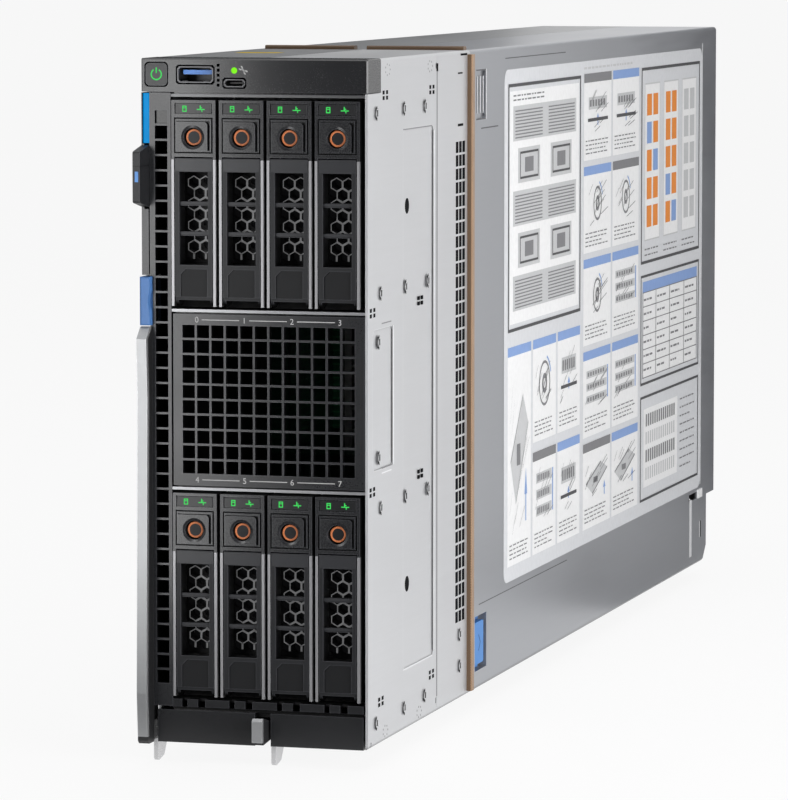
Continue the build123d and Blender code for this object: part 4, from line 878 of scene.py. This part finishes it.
# drawings for the steps, in shares of the step's box: a slanted tray, a card over its slot, a dial, a row of plugs
def tray(a, b, c, d):
    m, n = (a + c) / 2, (b + d) / 2
    w, h = (c - a) * 0.42, (d - b) * 0.30
    ink("inkPale", [(m - w, n - h * 0.2), (m + w * 0.4, n + h), (m + w, n + h * 0.45), (m - w * 0.4, n - h)])
    slope(m - w, n - h * 0.2, m + w * 0.4, n + h, 0.7, "inkGrey")
    slope(m - w * 0.4, n - h, m + w, n + h * 0.45, 0.7, "inkGrey")
    ink("inkGrey", panel(m - w * 0.3, n - h * 0.3, m + w * 0.1, n + h * 0.1))
    arrow(m + w * 0.75, n - h * 0.9, 4.5, h * 0.5, "inkBlue")


def card(a, b, c, d):
    m, n, w = (a + c) / 2, (b + d) / 2, (c - a) * 0.36
    top, slot = n + (d - b) * 0.3, n - (d - b) * 0.2
    ink("inkPale", panel(m - w, n + 1, m + w, top))
    bars(m - w * 0.9, n + 2.2, m + w * 0.9, top - 1.2, 6, 0.6, "inkGrey")
    ink("inkDark", panel(m - w * 1.1, slot, m + w * 1.1, slot + 1.4))
    arrow(m, n - 3.4, 4.5, 2.6, "inkBlue")


def dial(a, b, c, d):
    m, n, r = (a + c) / 2, (b + d) / 2, min(c - a, d - b) * 0.36
    ink("inkGrey", *ringPrint(m, n, r, r - 1.1, 22), *ringPrint(m, n, r * 0.45, r * 0.22, 14))
    slope(m - r * 0.5, n - r * 0.5, m + r * 0.6, n + r * 0.6, 0.8, "inkGrey")
    ink("inkBlue", *ringPrint(m, n, r + 2.4, r + 1.4, 8, (20, 70)))


def plugs(a, b, c, d):
    high = (d - b) * 0.16
    for i in range(3):
        v = b + (d - b) * (0.2 + 0.26 * i)
        ink("inkPale", panel(a + 4, v, c - 5, v + high))
        bars(a + 6, v + 0.8, c - 8, v + high - 0.8, 7, 0.55, "inkGrey")
    ink("inkBlue", panel(c - 4.2, b + (d - b) * 0.2, c - 2.4, b + (d - b) * 0.88))


# map panel on the left: sockets between banks of bars, framed
mapPanel = {"frame": (6, 100, 128, 199), "line": 1.3, "paper": (9, 103, 125, 196), "text": (14, 191.5, 70, 195),
            "banks": (108, 142, 176), "bank": (14, 0, 120, 14), "bars": [(17, 1, 62, 13), (72, 1, 117, 13)],
            "sockets": [(22, 125), (22, 159), (76, 125), (76, 159)], "socket": (0, 0, 36, 14),
            "ring": (3, 1.5, 33, 12.5), "ringLine": 0.9, "chip": (11, 4, 25, 10)}
ink("inkDark", *rim(*mapPanel["frame"], mapPanel["line"]))
ink("white", panel(*mapPanel["paper"]))
for v in mapPanel["banks"]:
    ink("inkPale", *moved([panel(*mapPanel["bank"])], 0, v))
    for a, b, c, d in mapPanel["bars"]:
        stack(a, v + b, c, v + d, 9, 0.4, "inkGrey")
for u, v in mapPanel["sockets"]:
    ink("inkPale", *moved([panel(*mapPanel["socket"])], u, v))
    ink("inkDark", *moved(rim(*mapPanel["ring"], mapPanel["ringLine"]), u, v))
    ink("inkGrey", *moved([panel(*mapPanel["chip"])], u, v))
dashes(*mapPanel["text"], 2, 0.6)

# steps: boxed drawings with a head strip, text and fine lines, in columns
stepBox = {"free": [(6, 6, 44, 94), (47, 6, 86, 48), (47, 52, 86, 94), (89, 6, 128, 48), (89, 52, 128, 94)],
           "first": (134, 6, 184, 42.6), "pitch": (53, 39.2), "count": (2, 5), "head": 3.8}
a, b, c, d = stepBox["first"]
shifts = [(stepBox["pitch"][0] * i, stepBox["pitch"][1] * k)
          for i in range(stepBox["count"][0]) for k in range(stepBox["count"][1])]
steps = stepBox["free"] + [(a + u, b + v, c + u, d + v) for u, v in shifts]
drawings = (tray, card, dial, plugs)
for i, (a, b, c, d) in enumerate(steps):
    ink("white", panel(a, b, c, d))
    ink("inkGrey" if i % 4 == 1 else "inkBlue", panel(a, d - stepBox["head"], c, d))
    dashes(a + 2, d - 3.2, a + (c - a) * 0.6, d - 1.2, 1, 0.9, "white")
    dashes(a + 3, b + 2, c - 2, b + 9, 4, 0.5)
    strokes(a + 3, b + 11, c - 3, d - 7, 9)
    drawings[(i * 3 + i // 4) % 4](a + 2, b + 10, c - 2, d - 6)

# framed blocks of colour on the right
blockPanel = {"frames": [(242, 112, 362, 199, 1.3), (242, 58, 362, 107, 1.1), (242, 6, 362, 53, 1.1)],
              "columns": (249, 287, 325), "paper": (0, 122, 30, 192), "line": 0.6, "block": (4, 128, 13.5, 137.5),
              "pitch": (12.5, 12.4), "text": (114.5, 119.5)}
ink("inkDark", *[strip for row in blockPanel["frames"] for strip in rim(*row)])
for k, u in enumerate(blockPanel["columns"]):
    ink("white", *moved([panel(*blockPanel["paper"])], u, 0))
    ink("inkPale", *moved(rim(*blockPanel["paper"], blockPanel["line"]), u, 0))
    for r in range(5):
        for s in range(2):
            kind = "inkBlue" if (r + 2 * k + s) % 7 == 3 else ("inkOrange" if k < 2 else "inkPale")
            block = panel(*blockPanel["block"])
            ink(kind, *moved([block], u + blockPanel["pitch"][0] * s, blockPanel["pitch"][1] * r))
    dashes(u, blockPanel["text"][0], u + blockPanel["paper"][2], blockPanel["text"][1], 2, 0.6)

# ruled table
ruled = {"paper": (246, 61, 358, 99), "head": 5, "rows": 7, "pitch": 6.33, "rule": 0.4, "wide": 0.8,
         "rules": (246, 272, 300, 330, 357.2), "text": (248, 275, 303, 333), "textWide": 22, "textFoot": 0.6}
a, b, c, d = ruled["paper"]
ink("white", panel(a, b, c, d))
ink("inkBlue", panel(a, d, c, d + ruled["head"]))
levels = [b + ruled["pitch"] * k for k in range(ruled["rows"])]
ink("inkGrey", *[panel(a, v, c, v + ruled["rule"]) for v in levels])
ink("inkGrey", *[panel(u, b, u + ruled["wide"], d) for u in ruled["rules"]])
for u in ruled["text"]:
    dashes(u, b + ruled["textFoot"], u + ruled["textWide"], d, 6, 0.9, "inkGrey", 0.8)

# slot map, with text beside it and over the steps
slotMap = {"paper": (249, 12, 318, 47), "row": (253, 15, 314, 20.5), "pitch": 8, "rows": 4, "slots": 14,
           "share": 0.55, "text": (323, 12, 357, 47), "title": (134, 200.5, 236, 203)}
ink("white", panel(*slotMap["paper"]))
a, b, c, d = slotMap["row"]
for k in range(slotMap["rows"]):
    v = slotMap["pitch"] * k
    bars(a, b + v, c, d + v, slotMap["slots"], slotMap["share"], "inkGrey" if k % 2 else "inkPale")
dashes(*slotMap["text"], 9, 0.6)
dashes(*slotMap["title"], 1, 0.9, "inkPale")

sheet = roundPanel(label["y"][0], label["z"][0], label["y"][1], label["z"][1], label["corner"])
onSide("serviceLabel", [sheet], "paper", label["lift"], "cover")
for place, kind in enumerate(order):
    onSide("label_" + kind, inks[kind], kind, label["lift"] + label["ink"] * (place + 1), "cover")
print("label: %d shapes" % sum(len(v) for v in inks.values()))

# cover: painted shade along creases and in a ridged grip, painted highlights round the grip, behind the label and at
# the rear, and painted shade in a slot there
coverLine = {"creases": [(197, 245.2, 297, 245.6), (159.5, 219.0, 186, 219.5), (157, 32.8, 302, 33.2)],
             "shine": [(563.2, 37, 564.6, 243), (541, 5.0, 546, 31.5), (562.6, 12.0, 564.2, 19.6)],
             "slot": [(564.3, 12.0, 566.2, 19.6)]}
grip = {"y": (152.0, 166.8), "z": (222.6, 242.2), "band": 0.9, "bandInset": 0.6, "edge": 0.5, "shine": (0.1, 1.1),
        "ridges": (152.6, 157.0, 161.4), "ridge": (0.6, 225.2, 239.6), "ridgeShine": 2.6}
(a, b), (c, d), edge = grip["y"], grip["z"], grip["edge"]
wide, low, high = grip["ridge"]
creases = panels(coverLine["creases"])
creases += [panel(b - grip["band"], c + grip["bandInset"], b, d - grip["bandInset"]),
            panel(a, d - edge, b, d), panel(a, c, b, c + edge)]
creases += [panel(y, low, y + wide, high) for y in grip["ridges"]]
onSide("coverCreaseShade", creases, "coverShade", body="cover")
# painted highlights beside the grip and its ridges, behind the label and at the rear
shine = [panel(b + grip["shine"][0], c, b + grip["shine"][1], d)]
shine += [panel(y + wide, low, y + grip["ridgeShine"] * wide, high) for y in grip["ridges"]]
shine += panels(coverLine["shine"])
onSide("coverShine", shine, "lineLight", body="cover")
# painted shade in the slot
onSide("coverSlotShade", panels(coverLine["slot"]), "hole", body="cover")
coverClip = {"low": (-0.05, 557.4, 30.9), "high": (0.5, 566.8, 34.9)}
clip = boxes(*(np.array(coverClip[key]) + (halfWidth, 0, 0) for key in ("low", "high")))
addPiece("coverClip", clip, "white", "cover")

# latch sign: a chevron of two arms, the lower one mirrored
latchSign = {"arm": [(-1.5, 3.2), (-0.5, 3.2), (2.2, 0), (1.2, 0)], "lift": 0.03}
low, high = boxOf("cover_latch")
arm = latchSign["arm"]
mirrored = [(y, -z) for y, z in arm[:1] + arm[:0:-1]]
chevron = moved([arm, mirrored], (low[1] + high[1]) / 2, (low[2] + high[2]) / 2)
addPiece("latchSign", prints(chevron, "right", high[0] + latchSign["lift"]), "signBlue", "cover_latch")

# yellow film on the roof
roofFilm = {"outline": (-32, 78, -15, 88), "lift": 0.03}
addPiece("roofFilm", prints([panel(*roofFilm["outline"])], "up", tall + roofFilm["lift"]), "yellow")
print("cover: creases, clip and film")


# inside and rear

# memory chips on both faces of each module, and the latches at the socket ends
memory = {"y": np.array([262.0, 424.0]), "middle": 125.0, "first": 46.0, "pitch": 7.6, "slots": 6, "half": 66.7,
          "base": np.array([-32.75, 6.5]), "thick": 0.7, "chip": (13.0, 11.0, 0.8), "chips": 8, "chipX": 16,
          "chipEnd": 9, "latch": (11.0, 3.6, 4.6), "latchX": 8.6, "latchEnd": 2.2}
offset = memory["first"] + memory["pitch"] * np.arange(memory["slots"])
rows = memory["middle"] + np.concatenate([offset, -offset])
last = memory["half"] - memory["chipEnd"]
chipY = (memory["y"][:, None] + np.linspace(-last, last, memory["chips"])[None]).reshape(-1)
shift = memory["thick"] + memory["chip"][2] / 2
chips = spots(memory["base"] + memory["chipX"], chipY, np.concatenate([rows + shift, rows - shift]))
addPiece("memoryChips", blocks(chips, memory["chip"]), "chip", "shell")
endY = (memory["y"][:, None] + np.array([-1, 1])[None] * (memory["half"] + memory["latchEnd"])).reshape(-1)
latches = blocks(spots(memory["base"] + memory["latchX"], endY, rows), memory["latch"])
addPiece("memoryLatches", latches, "ivory", "shell")

# small parts on the right board: chips and cans spread by a fixed seed over its free strips; each size is given by
# its least and by how much chance may add
boardParts = {"face": 3.5, "strips": ((156, 186, 12, 240), (334, 352, 12, 240), (500, 506, 12, 240)),
              "count": (46, 26, 14), "sizes": ((2, 5), (1.5, 1.5), (0.6, 1.4)), "seed": 4, "canEvery": 4,
              "canUp": 2.6, "can": [(2.4, 0.0), (2.4, 5.6), (2.1, 6.0), (0.0, 6.0)]}
chance = np.random.default_rng(boardParts["seed"])
face = boardParts["face"]
lows, highs, cans = [], [], []
for (y0, y1, z0, z1), count in zip(boardParts["strips"], boardParts["count"]):
    levels = np.linspace(z0, z1, count)
    for z in levels:
        wide, up, deep = (least + more * chance.random() for least, more in boardParts["sizes"])
        y = y0 + (y1 - y0 - wide) * chance.random()
        lows.append((face, y, z))
        highs.append((face + deep, y + wide, z + up))
    cans += [(face, y0 + (y1 - y0) * chance.random(), z + boardParts["canUp"])
             for z in levels[::boardParts["canEvery"]]]
addPiece("boardChips", boxes(lows, highs), "chip", "shell")
addPiece("boardCans", turned(boardParts["can"], cans, "right", 14), "alloy", "shell")

# spring screws at the corners of the heat sinks
screws = {"y": 46.0, "z": 33.0, "x": np.array([-23.75, 15.5]),
          "profile": [(2.2, 0.0), (2.2, 5.0), (3.1, 5.0), (3.1, 6.6), (2.6, 7.0), (0.0, 7.0)]}
screwAt = spots(screws["x"], [y + s * screws["y"] for y in memory["y"] for s in (-1, 1)],
                [memory["middle"] + s * screws["z"] for s in (-1, 1)])
addPiece("sinkScrews", turned(screws["profile"], screwAt, "right", 14), "bright", "shell")

# gold pins in the cells of the rear connectors, and blades on the power ones below
rearPins = {"x": (-19.0, 20.0), "z": (105.0, 185.0), "cellX": (-5.0, 5.0), "cellZ": (-14.25, -4.75, 4.75, 14.25),
            "spread": (-1.8, 0.0, 1.8), "sunk": 5.0, "pin": (0.7, 5.5, 0.7)}
rearBlades = {"z": 20.0, "count": 7, "pitch": 3.8, "forward": 16.4, "blade": (1.3, 0.5, 9.0)}
last = boxOf("rear_connectors")[1][1]
pinX = [x + c + t for x in rearPins["x"] for c in rearPins["cellX"] for t in rearPins["spread"]]
pinZ = [z + c + t for z in rearPins["z"] for c in rearPins["cellZ"] for t in rearPins["spread"]]
pins = blocks(spots(pinX, [last - rearPins["sunk"]], pinZ), rearPins["pin"])
bladeX = np.concatenate([evenly(x, rearBlades["pitch"], rearBlades["count"]) for x in rearPins["x"]])
blades = blocks(spots(bladeX, [last - rearBlades["forward"]], [rearBlades["z"]]), rearBlades["blade"])
addPiece("rearPins", together(pins, blades), "gold", "shell")
print("inside: %d chips, %d small parts" % (len(chips), len(lows)))


# stage, light and camera

def stagePiece(name, corners, finish):
    mesh = bpy.data.meshes.new(name)
    mesh.from_pydata(corners, [], [[0, 1, 2, 3]])
    mesh.materials.append(finish)
    piece = bpy.data.objects.new(name, mesh)
    scene.collection.objects.link(piece)
    return piece


def seenDirectly(tree):  # 1 where the camera, metal or glass looks, 0 for soft light
    rays = addNode(tree, "LightPath", {})
    seen = reckon(tree, "MAXIMUM", rays["Is Camera Ray"], rays["Is Glossy Ray"])
    return reckon(tree, "MAXIMUM", seen, rays["Is Transmission Ray"])


# pale floor: matt, with a share of plain white where it is seen directly
paleFloor = {"size": 200.0, "colour": (0.86, 0.86, 0.86, 1), "share": 0.90}
finish = bpy.data.materials.new("paleFloor")
finish.use_nodes = True
tree = finish.node_tree
tree.nodes.clear()
matt = addNode(tree, "BsdfDiffuse", {"Color": paleFloor["colour"]})["BSDF"]
glow = addNode(tree, "Emission", {"Strength": 1.0})["Emission"]
share = reckon(tree, "MULTIPLY", seenDirectly(tree), paleFloor["share"])
addNode(tree, "OutputMaterial", {"Surface": addNode(tree, "MixShader", {0: share, 1: matt, 2: glow})["Shader"]})
half = paleFloor["size"] / 2
floorPiece = stagePiece("floor", [(x, y, 0.0) for x, y in panel(-half, -half, half, half)], finish)

# cards round the blade, seen only in its gloss: behind it, beside it, in front of it and on the floor there
cardBlack = inked("cardBlack", (0.03, 0.03, 0.035), 0.8, level=0.0)
cardGrey = inked("cardGrey", (0.52, 0.52, 0.525), 0.8, level=0.0)
standing = {  # finish, distance and outline seen from the front
    "rearCard": (cardBlack, 0.55, (0.0, 0.0, 0.17, 0.36)),
    "roofCard": (cardBlack, 1.0, (-0.9, 0.0, -0.235, 0.9)),
    "frontCard": (cardBlack, -2.6, (-4.0, 0.0, 1.5, 4.0)),
}
lying = {  # finish, height and outline seen from above
    "sideCard": (cardGrey, 0.002, (0.05, 0.14, 0.17, 0.9)),
    "floorCard": (cardBlack, 0.002, (-4.0, -2.6, 1.5, -0.33)),
}
cards = {name: (look, [(x, y, z) for x, z in panel(*box)]) for name, (look, y, box) in standing.items()}
cards.update({name: (look, [(x, y, z) for x, y in panel(*box)]) for name, (look, z, box) in lying.items()})
for name, (look, corners) in cards.items():
    cardPiece = stagePiece(name, corners, look)
    cardPiece.visible_camera = cardPiece.visible_diffuse = False
    cardPiece.visible_shadow = cardPiece.visible_transmission = False

# white room, dimmer in soft light than where it is seen directly
ambient = 0.36
world = bpy.data.worlds.new("studio")
scene.world = world
world.use_nodes = True
tree = world.node_tree
room = tree.nodes["Background"]
room.inputs["Color"].default_value = (1, 1, 1, 1)
feed(room, Strength=between(tree, seenDirectly(tree), ambient, 1.0, 0.0, 1.0))

# the strip light at the near left works on the gloss alone, and the fill beside the camera on soft light alone
lamps = {
    "keyRight": {"at": (0.65, -0.60, 0.17), "aim": (0.04, -0.20, 0.13), "size": (0.5, 0.3), "power": 4.2},
    "nearLeft": {"at": (-0.082, -0.43, 0.182), "aim": (-0.025, -0.29, 0.177), "size": (0.05, 0.28), "power": 0.27,
                 "hides": "diffuse"},
    "nearCamera": {"at": (0.36, -1.40, 0.24), "aim": (0.0, -0.29, 0.13), "size": (0.3, 0.3), "power": 3.2,
                   "hides": "glossy"},
    "overhead": {"at": (0.0, 0.05, 1.5), "aim": (0.0, 0.05, 0.0), "size": (1.4, 1.4), "power": 7.5},
}
for name, lamp in lamps.items():
    light = bpy.data.lights.new(name, "AREA")
    light.shape = "RECTANGLE"
    light.size, light.size_y = lamp["size"]
    light.energy = lamp["power"]
    holder = bpy.data.objects.new(name, light)
    scene.collection.objects.link(holder)
    holder.location = lamp["at"]
    holder.rotation_euler = (Vector(lamp["aim"]) - Vector(lamp["at"])).to_track_quat("-Z", "Y").to_euler()
    holder.visible_camera = False
    if "hides" in lamp:
        setattr(holder, "visible_" + lamp["hides"], False)

shot = {"at": (0.5427, -2.03475, 0.3063), "yaw": 15.71, "pitch": 5.39, "lens": 227.67, "sensor": 36.0, "far": 400}
camera = bpy.data.cameras.new("camera")
camera.lens, camera.sensor_width = shot["lens"], shot["sensor"]
camera.clip_end = shot["far"]
eye = bpy.data.objects.new("camera", camera)
scene.collection.objects.link(eye)
eye.location = shot["at"]
eye.rotation_euler = (math.radians(90 - shot["pitch"]), 0, math.radians(shot["yaw"]))
scene.camera = eye
scene.view_settings.view_transform = "Standard"
print("stage: lights, floor and camera")
